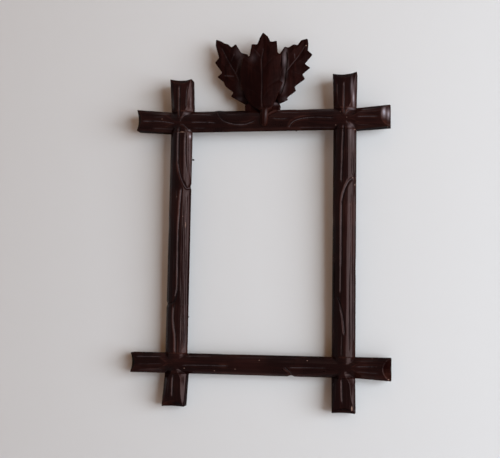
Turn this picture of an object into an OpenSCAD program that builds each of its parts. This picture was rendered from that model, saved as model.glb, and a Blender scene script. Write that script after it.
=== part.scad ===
// Carved picture frame: two stiles and two rails cross at half-lap corners and run past them as
// scooped horns, and a crest of three serrated leaves stands on the top rail.
// The origin is on the back plane at the hanging ring's staple. +Z is up, +X right, the front faces -Y.

/* [Frame] */
// Distance between the centre lines of the two stiles
stile_gap = 166.5; // [130:0.5:260]
// Distance between the centre lines of the two rails
rail_gap = 244.5; // [170:0.5:380]
// Width of a stile between the corners
stile_w = 22.5; // [20:0.5:28]
// Height of the top rail, from its lower to its upper edge
top_rail_w = 21.5; // [20:0.5:28]
// Height of the bottom rail, from its lower to its upper edge
bottom_rail_w = 20; // [18:0.5:28]
// Thickness of the battens from the back to the top of the rounded front
batten_t = 15; // [14:0.5:20]
// How far the rounded front rises above its own edges
crown_rise = 6; // [4:0.5:7]
// Depth from the back to the half-lap faces and to the shelf that the picture lies on
lap_depth = 7.5; // [6.5:0.25:8]
// Width of the rebate that holds the picture
rebate_w = 5; // [4:0.5:6]

/* [Horns] */
// Reach of the left stile above the top rail's centre line
left_stile_top = 44.5; // [34:0.5:60]
// Reach of the left stile below the bottom rail's centre line
left_stile_foot = 42.5; // [34:0.5:60]
// Reach of the right stile above the top rail's centre line
right_stile_top = 46; // [34:0.5:60]
// Reach of the right stile below the bottom rail's centre line
right_stile_foot = 43.5; // [34:0.5:60]
// Reach of the top rail to the left of the left stile's centre line
top_rail_left = 47; // [34:0.5:60]
// Reach of the top rail to the right of the right stile's centre line
top_rail_right = 45; // [34:0.5:60]
// Reach of the bottom rail to the left of the left stile's centre line
bottom_rail_left = 46.5; // [34:0.5:60]
// Reach of the bottom rail to the right of the right stile's centre line
bottom_rail_right = 46; // [34:0.5:60]
// Drift of the left stile's upper tip towards the right
left_stile_top_drift = -1.2; // [-3:0.1:3]
// Drift of the left stile's foot towards the right
left_stile_foot_drift = -1.6; // [-3:0.1:3]
// Drift of the right stile's upper tip towards the right
right_stile_top_drift = 0; // [-3:0.1:3]
// Drift of the right stile's foot towards the right
right_stile_foot_drift = 0.6; // [-3:0.1:3]
// Upward drift of the top rail's left tip
top_rail_left_drift = 2.5; // [-3:0.1:3]
// Upward drift of the top rail's right tip
top_rail_right_drift = 1.8; // [-3:0.1:3]
// Upward drift of the bottom rail's left tip
bottom_rail_left_drift = 0; // [-3:0.1:3]
// Upward drift of the bottom rail's right tip
bottom_rail_right_drift = -0.8; // [-3:0.1:3]
// How much the right stile's upper horn spreads on each side towards its tip
right_stile_top_spread = 0.8; // [0:0.1:2]
// How much higher the right corner of the right stile's upper tip is than its left corner
right_stile_top_slant = 1.4; // [-3:0.1:3]
// How much the bottom rail's right horn spreads on each side towards its tip
bottom_rail_right_spread = 1; // [0:0.1:2]
// How much a horn narrows on each side towards its tip, before any spread
horn_taper = 0.1; // [0.1:0.1:2]
// How far a horn's nearly flat front rises between the corners of its tip
tip_rise = 1.5; // [0.5:0.25:3]
// Width of the flat facet on each side of a horn where it leaves the corner, and it runs out at the tip
facet_w = 8; // [5:0.5:9]
// How far the scooped cut in a horn's end runs in from the tip, along the middle of its front
scoop_len = 5.5; // [3:0.5:9]
// Depth of that cut at the tip, from the top of the horn's front
scoop_depth = 8.5; // [5:0.5:11]

/* [Carved cuts] */
// Width of a V-shaped cut at the wood's surface
cut_w = 2.2; // [1.2:0.1:3]
// Depth of a V-shaped cut
cut_depth = 1.3; // [0.6:0.1:2]

/* [Leaves] */
// Length of the middle leaf's blade
centre_len = 86; // [70:1:110]
// Half width of the middle leaf's blade
centre_half_w = 24; // [18:0.5:30]
// Length of the left leaf
left_len = 80; // [60:1:100]
// Half width of the left leaf
left_half_w = 21; // [15:0.5:24]
// Length of the right leaf
right_len = 76.5; // [60:0.5:100]
// Half width of the right leaf
right_half_w = 19; // [15:0.5:22]
// Lean of the left leaf away from upright, in degrees
left_lean = 29; // [24:1:36]
// Lean of the right leaf away from upright, in degrees
right_lean = 28; // [24:1:36]
// Thickness of a leaf at its fullest
leaf_t = 6; // [4:0.25:6]
// Thickness of a leaf at its rim
rim_t = 1.8; // [1:0.1:3]
// Distance from the wall plane to the back of the two side leaves
side_bed = 3; // [1:0.25:3]
// Gap between the side leaves and the middle leaf that lies over them
leaf_gap = 0.4; // [0.2:0.1:0.8]
// How far the middle leaf's base reaches down over the top rail's front
blade_drop = 6.5; // [5:0.5:9]
// Lean of the middle leaf to the left, in degrees
centre_lean = 2; // [0:0.5:5]
// Distance from the frame's middle to the root of the left leaf
left_root_x = 11; // [9:0.5:13]
// Distance from the frame's middle to the root of the right leaf
right_root_x = 8.5; // [6:0.5:9]
// Height of a side leaf's root above the top rail
leaf_root_rise = 6; // [3:0.5:8]
// Sideways place of the middle leaf's stem
stem_x = 3; // [2:0.5:6]
// Radius of the stem that runs down over the rail's front
stem_r = 4.2; // [3:0.1:5]
// Radius of the thin stalk that joins the stem from the right leaf
stalk_r = 2; // [1.2:0.1:2.4]

/* [Nails and dowels] */
// Radius of the wire nails in the corners and the stem
nail_r = 0.9; // [0.7:0.05:1.2]
// Radius of a nail's head
nail_head_r = 2; // [1.5:0.1:3]
// Thickness of a nail's head
nail_head_t = 0.8; // [0.5:0.1:1.2]
// Wood left in front of a corner nail's point
corner_nail_cover = 3; // [2:0.25:4]
// How far a stem nail enters the stem
stem_nail_bite = 2.5; // [1.5:0.25:3]
// Radius of the dowels under the side leaves
dowel_r = 1; // [0.8:0.1:1.2]
// How far a dowel enters the rail, and the leaf above it
dowel_bite = 6; // [4:0.5:8]
// Clearance round a nail or dowel in its hole
nail_fit = 0.05; // [0.03:0.01:0.1]

/* [Sprigs] */
// Radius of the headless brads that hold the picture in its rebate
sprig_r = 0.6; // [0.5:0.05:0.8]
// How far a sprig is driven into the wood
sprig_bite = 6; // [4:0.5:8]
// How far a sprig stands out over the picture
sprig_reach = 4.2; // [3:0.1:4.8]
// How much further out the loose sprig at the upper left stands
loose_sprig_pull = 0.9; // [0.5:0.1:3]
// Distance from the wall plane to a sprig's centre line
sprig_depth = 1.4; // [1:0.1:1.8]
// Distance from the top rail down to the upper sprigs
upper_sprig_drop = 27; // [15:1:60]
// Distance from the bottom rail up to the lower sprigs
lower_sprig_rise = 36; // [15:1:60]
// Sideways place of the sprigs in the two rails
rail_sprig_x = 34; // [20:1:45]

/* [Hanger] */
// Height of the ring's pivot above the top rail's centre line
pivot_rise = 3; // [2.5:0.25:3.5]
// Radius of the ring's brass wire
ring_wire_r = 0.9; // [0.7:0.05:1.1]
// Radius of the ring, to the middle of its wire
ring_r = 5.2; // [4.8:0.1:6.4]
// Radius of the staple's wire
staple_wire_r = 0.8; // [0.6:0.05:0.9]
// Room between the ring's wire and the staple round it
staple_play = 0.3; // [0.2:0.05:0.4]
// Distance from the wood to the middle of the ring's wire in the staple
pivot_stand = 2.2; // [2:0.1:3]
// How far the staple's legs are driven into the rail
staple_bite = 7; // [5:0.5:9]

/* [Hidden] */
SIDES = ["left", "right"];
LEVELS = ["top", "bottom"];
CORNERS = [for (level = LEVELS) for (side = SIDES) str(level, "_", side)];
STILE_SPRIGS = [for (side = SIDES) for (place = ["upper", "lower"]) [side, place]];

// Smoothness of true rounds, and of the battens' rounded fronts
round_fn = 48;
crown_steps = 12;
// How far a cutting tool runs past the wood
over = 1;
// How far the stile's front that is carved on a rail stays inside the corner
front_inset = 0.05;
// How far a horn's facets lie below the edge of the batten's rounded front at the corner
facet_step = 0.03;
// How far the gouge that cuts a horn's end is wider than the tip on each side
scoop_side = 0.5;
// How far each stretch of a path's cut runs on into the next one
path_lap = 0.4;

// Places of the centre lines
top_z = -pivot_rise;
bottom_z = top_z - rail_gap;
stile_x = stile_gap / 2;
rail_top = top_z + top_rail_w / 2;
rail_low = top_z - top_rail_w / 2;
sill_top = bottom_z + bottom_rail_w / 2;
sight_x = stile_x - stile_w / 2;

// The bark-like cuts. Each path gives points [across from the centre line, along the batten].
left_stile_paths = [
    [[-1.7, 38], [-1.4, -1]],
    [[-1.5, -8], [-1.9, -25], [-1.5, -46], [0.7, -58], [3.9, -66.5], [7.7, -71.5], [11.5, -70.5]],
    [[2.4, -75], [0.9, -96], [0.3, -122], [1, -171], [-1.4, -183], [-5.3, -188], [-11.5, -188.5]],
    [[-1.5, -191], [-2.2, -203], [0.4, -220], [0.7, -238]],
    [[7.4, -76], [8.1, -228]],
    [[-1.3, -260], [-1.5, -285]]
];
right_stile_paths = [
    [[-0.2, 40], [-0.3, 3]],
    [[-0.8, -10], [-1.9, -50], [-2.4, -66]],
    [[9, -62.5], [4.5, -66], [0.8, -74], [-2, -85], [-2.4, -175]],
    [[-7.8, -178], [-4, -185], [-1.3, -194], [0.5, -205.5], [1.4, -215]],
    [[-0.9, -218], [-1.1, -239]],
    [[6.5, -76], [5.9, -230]],
    [[-0.8, -260], [-0.2, -285]]
];
top_rail_paths = [
    [[1, -118], [0.5, -105], [-1.8, -90]],
    [[-1.2, -74], [-1.8, -53], [-2.8, -46]],
    [[7, -72], [6.6, -51]],
    [[10.5, -47], [4.2, -43.4], [-1, -38], [-3.9, -28], [-4.2, -17], [-1.5, -7.5]],
    [[1.1, 12], [0.3, 20], [0.9, 28]],
    [[7, 19.5], [6.7, 39]],
    [[-9, 28.2], [-5.3, 29.6], [-1.8, 34], [0.5, 42.5], [1.2, 55], [0.4, 71]],
    [[0.9, 96], [0.9, 116]]
];
bottom_rail_paths = [
    [[-1.4, -120], [-0.8, -96]],
    [[6.9, -71], [7.8, -46]],
    [[-1.7, -74], [-1, -29]],
    [[-0.9, 26.4], [-4.1, 30.4], [-10.2, 34.2]],
    [[-1, 34], [-0.8, 67]],
    [[1.4, 96], [1.9, 115]]
];

function side_sign(side) = side == "left" ? -1 : 1;
function rail_z(level) = level == "top" ? top_z : bottom_z;
function rail_w(level) = level == "top" ? top_rail_w : bottom_rail_w;

// Depth of a rounded front at x on a batten w wide: a circular arc that rises from edge to edge
function arc_r(w, rise) = (pow(w / 2, 2) + pow(rise, 2)) / (2 * rise);
function crown_depth(w, x, rise = crown_rise) = batten_t - arc_r(w, rise) + sqrt(pow(arc_r(w, rise), 2) - x * x);

// Section of a batten or of a horn, with its back on y = 0 and its rounded front towards -y
module batten_section(w, rise = crown_rise) {
    front = [for (i = [0:crown_steps]) let (x = w / 2 - w * i / crown_steps) [x, -crown_depth(w, x, rise)]];
    polygon(concat([[-w / 2, 0], [w / 2, 0]], front));
}

// Everything in front of the flat facet on the +x side of a horn. The facet's plane runs by the edge of the
// batten's rounded front at the corner, a line facet_w inside it on the crown, and the corner of the tip.
module facet_cut(w, reach, shift) {
    turn = atan2(crown_rise, facet_w);
    tilt = atan2((facet_w - horn_taper + shift) * sin(turn) - tip_rise * cos(turn), reach);
    wide = w + reach;
    translate([w / 2 - facet_w, facet_step - batten_t, 0])
        rotate([0, 0, turn]) rotate([tilt, 0, 0])
            translate([-wide, -wide, -wide]) cube([2 * wide, wide, 3 * wide]);
}

// The hollow cut of a gouge in a horn's end. It slants from the front down to the tip and leaves the back whole.
module scoop(half, reach, drift, slant) {
    slope = norm([scoop_len, scoop_depth]);
    sag = (scoop_depth - tip_rise) * scoop_len / slope;
    r = (pow(half + scoop_side, 2) + sag * sag) / (2 * sag);
    translate([drift, scoop_depth - batten_t, reach])
        rotate([0, -atan2(slant, 2 * half), 0])
            translate([0, -r * scoop_len / slope, r * scoop_depth / slope])
                rotate([-atan2(scoop_depth, scoop_len), 0, 0])
                    cylinder(r = r, h = 4 * batten_t, center = true, $fn = 4 * round_fn);
}

// The end of a batten that runs on past the corner at z = 0, shaped by a tip of [reach, drift, spread, slant].
// The tip drifts a little towards +x, and slants upwards towards +x.
module horn(w, tip) {
    reach = tip[0];
    drift = tip[1];
    spread = tip[2];
    half = w / 2 - horn_taper + spread;
    rise = tip[3] / 2;
    outline = [[-w / 2, 0], [w / 2, 0], [drift + half, reach + rise], [drift - half, reach - rise]];
    difference() {
        intersection() {
            linear_extrude(reach + abs(rise) + over) batten_section(w + 2 * (abs(drift) + spread), tip_rise);
            translate([0, over, 0]) rotate([90, 0, 0]) linear_extrude(batten_t + 2 * over) polygon(outline);
        }
        facet_cut(w, reach, spread + drift);
        mirror([1, 0, 0]) facet_cut(w, reach, spread - drift);
        scoop(half, reach, drift, tip[3]);
    }
}

// Half of a batten, from its corner at z = 0 back to its middle, with the horn past the corner
module half_batten(w, half, tip) {
    mirror([0, 0, 1]) linear_extrude(half) batten_section(w);
    horn(w, tip);
}

// A batten along Z between its two corners, with a horn past each
module batten(w, low_corner, high_corner, low_tip, high_tip) {
    half = (high_corner - low_corner) / 2 + over;
    translate([0, 0, high_corner]) half_batten(w, half, high_tip);
    translate([0, 0, low_corner]) mirror([0, 0, 1]) half_batten(w, half, low_tip);
}

// Point on the rounded front of a batten w wide, for a path's point [across, along]
function front_point(w, p) = [p[0], -crown_depth(w, min(abs(p[0]), w / 2)), p[1]];

// V-shaped cuts along paths over the front of a batten that lies along Z
module path_cuts(w, paths) {
    half = cut_w / 2 * (1 + over / cut_depth);
    for (path = paths) for (i = [0:len(path) - 2]) {
        start = front_point(w, path[i]);
        way = front_point(w, path[i + 1]) - start;
        translate(start)
            rotate([asin(-way[1] / norm(way)), atan2(way[0], way[2]), 0])
                linear_extrude(norm(way) + path_lap)
                    polygon([[0, cut_depth], [-half, -over], [half, -over]]);
    }
}

// Turns a shape modelled along Z so that it lies along X, as the rails do
module along_x(z) {
    translate([0, 0, z]) rotate([0, 90, 0]) children();
}

// The two stiles before their joints are cut
module stile_blank(side) {
    left = side == "left";
    past_top = top_rail_w / 2;
    past_foot = bottom_rail_w / 2;
    top = left
        ? [left_stile_top - past_top, left_stile_top_drift, 0, 0]
        : [right_stile_top - past_top, right_stile_top_drift, right_stile_top_spread, right_stile_top_slant];
    foot = left
        ? [left_stile_foot - past_foot, left_stile_foot_drift, 0, 0]
        : [right_stile_foot - past_foot, right_stile_foot_drift, 0, 0];
    translate([side_sign(side) * stile_x, 0, 0])
        batten(stile_w, bottom_z - bottom_rail_w / 2, rail_top, foot, top);
}

module stile_cuts(side) {
    translate([side_sign(side) * stile_x, 0, 0])
        path_cuts(stile_w, side == "left" ? left_stile_paths : right_stile_paths);
}

// The two rails before their joints are cut. Turned along X, a rail has its upper edge towards -x.
module rail_blank(level) {
    top = level == "top";
    past = stile_w / 2;
    left = top
        ? [top_rail_left - past, -top_rail_left_drift, 0, 0]
        : [bottom_rail_left - past, -bottom_rail_left_drift, 0, 0];
    right = top
        ? [top_rail_right - past, -top_rail_right_drift, 0, 0]
        : [bottom_rail_right - past, -bottom_rail_right_drift, bottom_rail_right_spread, 0];
    outer = stile_x + past;
    along_x(rail_z(level))
        batten(rail_w(level), -outer, outer, left, right);
}

module rail_cuts(level) {
    along_x(rail_z(level))
        mirror([1, 0, 0]) path_cuts(rail_w(level), level == "top" ? top_rail_paths : bottom_rail_paths);
}

// Block that covers one corner of the frame between two depths, grown at its sides and at its top and bottom
module corner_block(side, level, from, to, grow) {
    translate([side_sign(side) * stile_x, -(from + to) / 2, rail_z(level)])
        cube([stile_w + 2 * grow[0], to - from, rail_w(level) + 2 * grow[1]], center = true);
}

// The room for the picture behind the sight edge
module picture_recess() {
    low = sill_top - rebate_w;
    translate([-sight_x - rebate_w, -lap_depth, low])
        cube([2 * (sight_x + rebate_w), lap_depth + over, rail_low + rebate_w - low]);
}

// Radius of a nail's point
nail_tip_r = 0.1;

// A nail or its hole, driven forwards from the depth start, with its head at the back
module nail(start, reach, grow) {
    rotate([90, 0, 0]) {
        translate([0, 0, start - (grow > 0 ? over : 0)])
            cylinder(r = nail_head_r + grow, h = nail_head_t + (grow > 0 ? over : 0), $fn = round_fn);
        translate([0, 0, start]) cylinder(r = nail_r + grow, h = reach - nail_r, $fn = round_fn);
        translate([0, 0, start + reach - nail_r])
            cylinder(r1 = nail_r + grow, r2 = grow > 0 ? nail_r + grow : nail_tip_r, h = nail_r + grow, $fn = round_fn);
    }
}

module corner_nail(side, level, grow = 0) {
    translate([side_sign(side) * stile_x, 0, rail_z(level)]) nail(0, batten_t - corner_nail_cover, grow);
}

// Heights of the two nails that hold the stem, inside the rail's solid back
stem_nail_edge = 4;
function stem_nail_z(place) =
    place == "upper" ? rail_top - stem_nail_edge : rail_low + rebate_w + stem_nail_edge - over;

module stem_nail(place, grow = 0) {
    z = stem_nail_z(place);
    translate([stem_x, 0, z])
        nail(0, crown_depth(top_rail_w, z - top_z) + stem_nail_bite, grow);
}

// Middle of the dowel under a side leaf
dowel_x = 10;
dowel_y = -(side_bed + leaf_t / 2);

module leaf_dowel(side, grow = 0) {
    translate([side_sign(side) * dowel_x, dowel_y, rail_top - dowel_bite - grow])
        cylinder(r = dowel_r + grow, h = 2 * (dowel_bite + grow), $fn = round_fn);
}

// A sprig along X, from inside the wood to its end over the picture, which lies towards +X
module sprig_shape(reach, grow) {
    rotate([0, 90, 0]) {
        translate([0, 0, -sprig_bite - grow])
            cylinder(r = sprig_r + grow, h = sprig_bite + grow + reach, $fn = round_fn);
    }
}

function sprig_z(place) = place == "upper" ? rail_low - upper_sprig_drop : sill_top + lower_sprig_rise;

module stile_sprig(side, place, grow = 0) {
    way = side_sign(side);
    reach = sprig_reach + (side == "left" && place == "upper" ? loose_sprig_pull : 0);
    translate([way * (sight_x + rebate_w), -sprig_depth, sprig_z(place)])
        mirror([way > 0 ? 1 : 0, 0, 0]) sprig_shape(reach, grow);
}

module rail_sprig(level, grow = 0) {
    top = level == "top";
    translate([top ? rail_sprig_x : -rail_sprig_x, -sprig_depth, top ? rail_low + rebate_w : sill_top - rebate_w])
        rotate([0, top ? 90 : -90, 0]) sprig_shape(sprig_reach, grow);
}

// The staple's two legs and the half ring that joins them, or the holes of its legs
leg_z = ring_wire_r + staple_play + staple_wire_r;

module staple_legs(grow = 0) {
    for (z = [-leg_z, leg_z])
        translate([0, pivot_stand, z])
            rotate([90, 0, 0])
                cylinder(r = staple_wire_r + grow, h = pivot_stand + staple_bite + grow, $fn = round_fn);
}

module stile(side) {
    color("#3a1c18")
        difference() {
            stile_blank(side);
            for (level = LEVELS) {
                corner_block(side, level, lap_depth, batten_t + over, [over, 0]);
                corner_nail(side, level, nail_fit);
            }
            picture_recess();
            stile_cuts(side);
            for (place = ["upper", "lower"]) stile_sprig(side, place, nail_fit);
        }
}

// A rail keeps its front at the corners, where it is carved on as the front of the stile it covers
module rail(level) {
    color("#3a1c18")
        difference() {
            union() {
                rail_blank(level);
                for (side = SIDES)
                    intersection() {
                        stile_blank(side);
                        corner_block(side, level, lap_depth, batten_t + over, [-front_inset, -front_inset]);
                    }
            }
            for (side = SIDES) {
                corner_block(side, level, -over, lap_depth, [0, over]);
                corner_nail(side, level, nail_fit);
                stile_cuts(side);
            }
            picture_recess();
            rail_cuts(level);
            rail_sprig(level, nail_fit);
            if (level == "top") {
                stem_nail("upper", nail_fit);
                stem_nail("lower", nail_fit);
                for (side = SIDES) leaf_dowel(side, nail_fit);
                staple_legs(nail_fit);
            }
        }
}

// Leaf teeth from the base up: [height of the notch, half width there, height of the tip, half width there],
// in percent of the leaf's length and of its half width
centre_left_teeth = [[0, 17, 4, 81], [10, 85, 16, 99], [33, 100, 52, 88], [60, 60, 76.5, 50], [81, 26, 91, 15]];
centre_right_teeth = [
    [0, 20, 12, 58], [14, 54, 21, 80], [27, 66, 38, 75], [44, 70, 56, 74], [62, 60, 77, 57], [81.5, 32, 91, 20]
];
left_outer_teeth = [[0, 26, 10, 71], [17, 50, 26, 71], [32, 67, 39, 83], [47, 52, 62, 60], [71, 31, 90, 17]];
left_inner_teeth = [[0, 24, 41, 100], [53, 76, 67, 74], [71, 48, 79, 40], [85, 27, 91, 19]];
right_outer_teeth = [
    [0, 35, 3, 65], [8, 55, 16, 80], [24, 62, 33, 93], [42, 67, 50, 88], [59, 52, 72, 65], [80, 33, 92, 17]
];
right_inner_teeth = [[0, 26, 33, 95], [40, 97, 60, 90], [65, 69, 76, 51], [81, 31, 90, 26]];

// Rows of a leaf's surface run outwards and up like its side veins
leaf_rows = 56;
vein_slant = 0.8;
// Places of the surface's columns, from the left rim through the midrib to the right rim
leaf_columns = [-1, -0.88, -0.62, -0.34, -0.1, 0, 0.1, 0.34, 0.62, 0.88, 1];
midrib_depth = 1.4;
// Height over which a valley between two veins fades, in percent of the leaf's length
valley_w = 3;
// Share of the blade's fullness that a valley takes away
valley_share = 0.4;
// How squarely the blade's fullness drops to the rim, and the half width below which it thins to the tip
pillow = 2.5;
thin_w = 7;

function rim_line(teeth) = concat([for (tooth = teeth) each [[tooth[0], tooth[1]], [tooth[2], tooth[3]]]], [[100, 2]]);
function valley(teeth, height) = max([for (tooth = teeth) exp(-pow((height - tooth[0]) / valley_w, 2))]);

// Thickness of a leaf at a height and a place across, full between the veins and thin at the rim
function leaf_body(teeth, height, across, half) =
    let (fade = min(1, half / thin_w), dip = valley_share * valley(teeth, height) * (valley_share + abs(across)))
    rim_t + (leaf_t - rim_t) * fade * (1 - pow(abs(across), pillow)) * (1 - dip)
    - (across == 0 ? midrib_depth * fade : 0);

// One point of a leaf: across along x, up along z, its back on y = 0
function leaf_point(length, half_w, left, right, row, across, front) =
    let (
        height = 100 * row / leaf_rows,
        teeth = across < 0 ? left : right,
        half = lookup(height, rim_line(teeth)) / 100 * half_w,
        x = across * half
    )
    [x, front ? -leaf_body(teeth, height, across, half) : 0, length * height / 100 + vein_slant * abs(x)];

// Two triangles for each square between row r and the next, seen from the front or from the back
function front_faces(r, n) = [
    for (c = [0:n - 2]) let (a = r * n + c, b = a + n)
        each [[a, b, b + 1], [a, b + 1, a + 1]]
];
function rim_faces(a, b, shift) = [[a, a + shift, b + shift], [a, b + shift, b]];
function flipped(faces, shift) = [for (f = faces) [f[0] + shift, f[2] + shift, f[1] + shift]];

// A serrated, pillowed blade that grows up from its base at the origin, with its flat back on y = 0
module leaf_blade(length, half_w, left, right) {
    n = len(leaf_columns);
    shift = (leaf_rows + 1) * n;
    last = leaf_rows * n;
    points = [
        for (front = [true, false]) for (row = [0:leaf_rows]) for (across = leaf_columns)
            leaf_point(length, half_w, left, right, row, across, front)
    ];
    skin = [for (r = [0:leaf_rows - 1]) each front_faces(r, n)];
    rims = [
        for (r = [0:leaf_rows - 1]) each concat(
            rim_faces(r * n, (r + 1) * n, shift),
            rim_faces((r + 1) * n + n - 1, r * n + n - 1, shift)
        )
    ];
    ends = [for (c = [0:n - 2]) each concat(rim_faces(c + 1, c, shift), rim_faces(last + c, last + c + 1, shift))];
    polyhedron(points = points, faces = concat(skin, flipped(skin, shift), rims, ends), convexity = 8);
}

// Faces of a swept tube whose rings of n points follow each other, closed at both ends
function tube_faces(rings, n) = concat(
    [for (r = [0:rings - 2]) for (i = [0:n - 1]) let (a = r * n + i, b = r * n + (i + 1) % n)
        each [[a, a + n, b + n], [a, b + n, b]]],
    [[for (i = [0:n - 1]) i], [for (i = [n - 1:-1:0]) (rings - 1) * n + i]]
);

// A round ridge over the top rail's rounded front, swept from one height to another about the centre line.
// sizes gives [share of the way, radius], and bend is how far the ridge swings aside at its start.
// ridge_curl is how soon that swing dies away.
ridge_curl = 3;
ridge_rings = 12;
ridge_sides = 14;
module ridge(from_z, to_z, bend, sizes) {
    r = arc_r(top_rail_w, crown_rise);
    points = [
        for (i = [0:ridge_rings]) let (
            share = i / ridge_rings,
            turn = asin((from_z + (to_z - from_z) * share) / r),
            size = lookup(share, sizes)
        )
        for (k = [0:ridge_sides - 1]) let (
            out = r + size * sin(360 * k / ridge_sides),
            side = size * cos(360 * k / ridge_sides)
        )
        [stem_x + bend * pow(1 - share, ridge_curl) + side, r - batten_t - out * cos(turn), top_z + out * sin(turn)]
    ];
    polyhedron(points = points, faces = tube_faces(ridge_rings + 1, ridge_sides), convexity = 4);
}

// How far the stem runs up under the blade, and how far from the rail's lower edge it ends
stem_tuck = 5;
stem_end = 4;
// How far to the right the stalk starts from the stem, and where it joins it below the rail's centre line
stalk_swing = 11;
stalk_join = 5;
// Fullness of the stem and of the stalk along their way
stem_sizes = [[0, stem_r * 1.15], [0.5, stem_r], [0.85, stem_r * 0.9], [0.95, stem_r * 0.7], [1, stem_r * 0.3]];
stalk_sizes = [[0, stalk_r], [0.7, stalk_r * 1.2], [1, stalk_r * 0.5]];

module stem() {
    ridge(top_rail_w / 2 - blade_drop + stem_tuck, stem_end - top_rail_w / 2, 0, stem_sizes);
    ridge(top_rail_w / 2 - stalk_r, -stalk_join, stalk_swing, stalk_sizes);
}

module centre_leaf() {
    back = batten_t - crown_rise + leaf_gap;
    color("#45211b")
        difference() {
            union() {
                translate([stem_x, -back, rail_top - blade_drop])
                    rotate([0, -centre_lean, 0])
                        leaf_blade(centre_len, centre_half_w, centre_left_teeth, centre_right_teeth);
                stem();
            }
            rail_front();
            for (place = ["upper", "lower"]) stem_nail(place, nail_fit);
        }
}

// The top rail's uncut body, which the middle leaf and its stem are fitted over
module rail_front() {
    along_x(top_z)
        translate([0, 0, -stile_x]) linear_extrude(stile_gap) batten_section(top_rail_w);
}

// Foot of a side leaf, flat on the top rail, outlined from the frame's middle outwards
foot_outline = [[2, 0], [17.5, 0], [18, 5], [16, 9], [10, 16], [4, 13], [2.5, 6]];

module leaf_foot() {
    rotate([90, 0, 0]) linear_extrude(leaf_t) polygon(foot_outline);
}

module side_leaf(side) {
    way = side_sign(side);
    left = side == "left";
    color("#3f1e19")
        difference() {
            intersection() {
                union() {
                    translate([left ? -left_root_x : right_root_x, -side_bed, rail_top + leaf_root_rise])
                        rotate([0, way * (left ? left_lean : right_lean), 0])
                            if (left) leaf_blade(left_len, left_half_w, left_outer_teeth, left_inner_teeth);
                            else leaf_blade(right_len, right_half_w, right_inner_teeth, right_outer_teeth);
                    translate([0, -side_bed, rail_top]) mirror([left ? 1 : 0, 0, 0]) leaf_foot();
                }
                translate([-stile_gap, -batten_t, rail_top]) cube([2 * stile_gap, batten_t, 2 * left_len]);
            }
            leaf_dowel(side, nail_fit);
        }
}

module hanger_staple() {
    color("#b08d4a") {
        staple_legs();
        translate([0, pivot_stand, 0])
            rotate([0, -90, 0])
                rotate_extrude(angle = 180, $fn = round_fn) translate([leg_z, 0]) circle(r = staple_wire_r, $fn = round_fn);
    }
}

module hanger_ring() {
    color("#c49a52")
        translate([0, pivot_stand, -ring_r])
            rotate([90, 0, 0])
                rotate_extrude($fn = 2 * round_fn) translate([ring_r, 0]) circle(r = ring_wire_r, $fn = round_fn);
}

for (side = SIDES) stile(side);
for (level = LEVELS) rail(level);
centre_leaf();
for (side = SIDES) side_leaf(side);
for (place = ["upper", "lower"])
    color("#6a6660") stem_nail(place);
for (side = SIDES)
    color("#b98f5e") leaf_dowel(side);
for (level = LEVELS) for (side = SIDES)
    color("#6a6660") corner_nail(side, level);
for (sprig = STILE_SPRIGS)
    color("#5c5650") stile_sprig(sprig[0], sprig[1]);
for (level = LEVELS)
    color("#5c5650") rail_sprig(level);
hanger_staple();
hanger_ring();
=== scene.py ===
"""Carves, finishes and lights a picture frame of crossed battens with a crest of three leaves."""

import math
from typing import NamedTuple

import bmesh
import bpy
import numpy as np
from mathutils import Matrix, Vector, kdtree


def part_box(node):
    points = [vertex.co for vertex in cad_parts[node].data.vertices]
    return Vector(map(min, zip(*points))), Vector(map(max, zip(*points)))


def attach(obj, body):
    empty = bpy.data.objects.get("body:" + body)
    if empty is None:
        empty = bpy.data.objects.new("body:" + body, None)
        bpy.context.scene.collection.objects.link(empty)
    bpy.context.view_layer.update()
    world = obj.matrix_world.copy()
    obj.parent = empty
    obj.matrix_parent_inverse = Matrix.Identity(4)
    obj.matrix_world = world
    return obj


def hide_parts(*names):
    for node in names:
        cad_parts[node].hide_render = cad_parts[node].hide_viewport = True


bl_info = {
    "name": "Carved picture frame",
    "version": (1, 0, 0),
    "blender": (4, 5, 0),
    "location": "View3D > Sidebar > Picture frame",
    "description": "Carves, finishes and lights a picture frame with a crest of leaves",
    "category": "Object",
}

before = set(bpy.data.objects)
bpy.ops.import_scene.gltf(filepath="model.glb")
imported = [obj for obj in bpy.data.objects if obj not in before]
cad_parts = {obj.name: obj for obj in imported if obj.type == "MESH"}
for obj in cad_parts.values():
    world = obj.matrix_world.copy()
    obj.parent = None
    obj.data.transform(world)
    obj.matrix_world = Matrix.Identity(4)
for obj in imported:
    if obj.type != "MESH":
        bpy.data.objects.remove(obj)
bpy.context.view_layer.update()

# Millimetres are used wherever a surface is worked out point by point
MM = 0.001
X, Y, Z = 0, 1, 2

# How near two corners of the loose triangles lie when they are one point
MERGE = 1e-6
# Depth behind which a batten's surface belongs to its joints, nail holes and rebate
JOINT_DEPTH = 8.0
# How much of a normal points along the depth where the wood starts to count as front, back, side or
# shoulder, and where it fully does
FRONT_LEAN = (0.15, 0.45)
BACK_LEAN = (0.4, 0.8)
SIDE_LEAN = (0.64, 0.44)
SHOULDER_LEAN = (0.8, 0.7)
SHOULDER_END = (0.4, 0.55)
# How much of a normal points along a batten where the wood starts to be end grain, and where it fully is
END_LEAN = (0.45, 0.6)
# How much of a normal points back where chips and dust on the front have stopped
SPOT_LEAN = 0.2
# How much of a normal still points along the depth on a leaf's rim
RIM_LEAN = 0.55
# How sharply the surface bends, beside its points' spacing, where an edge is fully worn or a hollow dark
FULL_BEND = 0.12
# Wear of a batten's shoulders beside that of its sharp edges
SHOULDER_WEAR = 0.45
# How far below a horn's tip its two corners may lie
TIP_SLACK = 0.3
# How far the gouge that cuts a horn's end is wider than the tip on each side
SCOOP_SIDE = 0.5
# Distance inside a corner over which a horn's form turns into the batten's
CORNER_BLEND = 9.0
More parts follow.
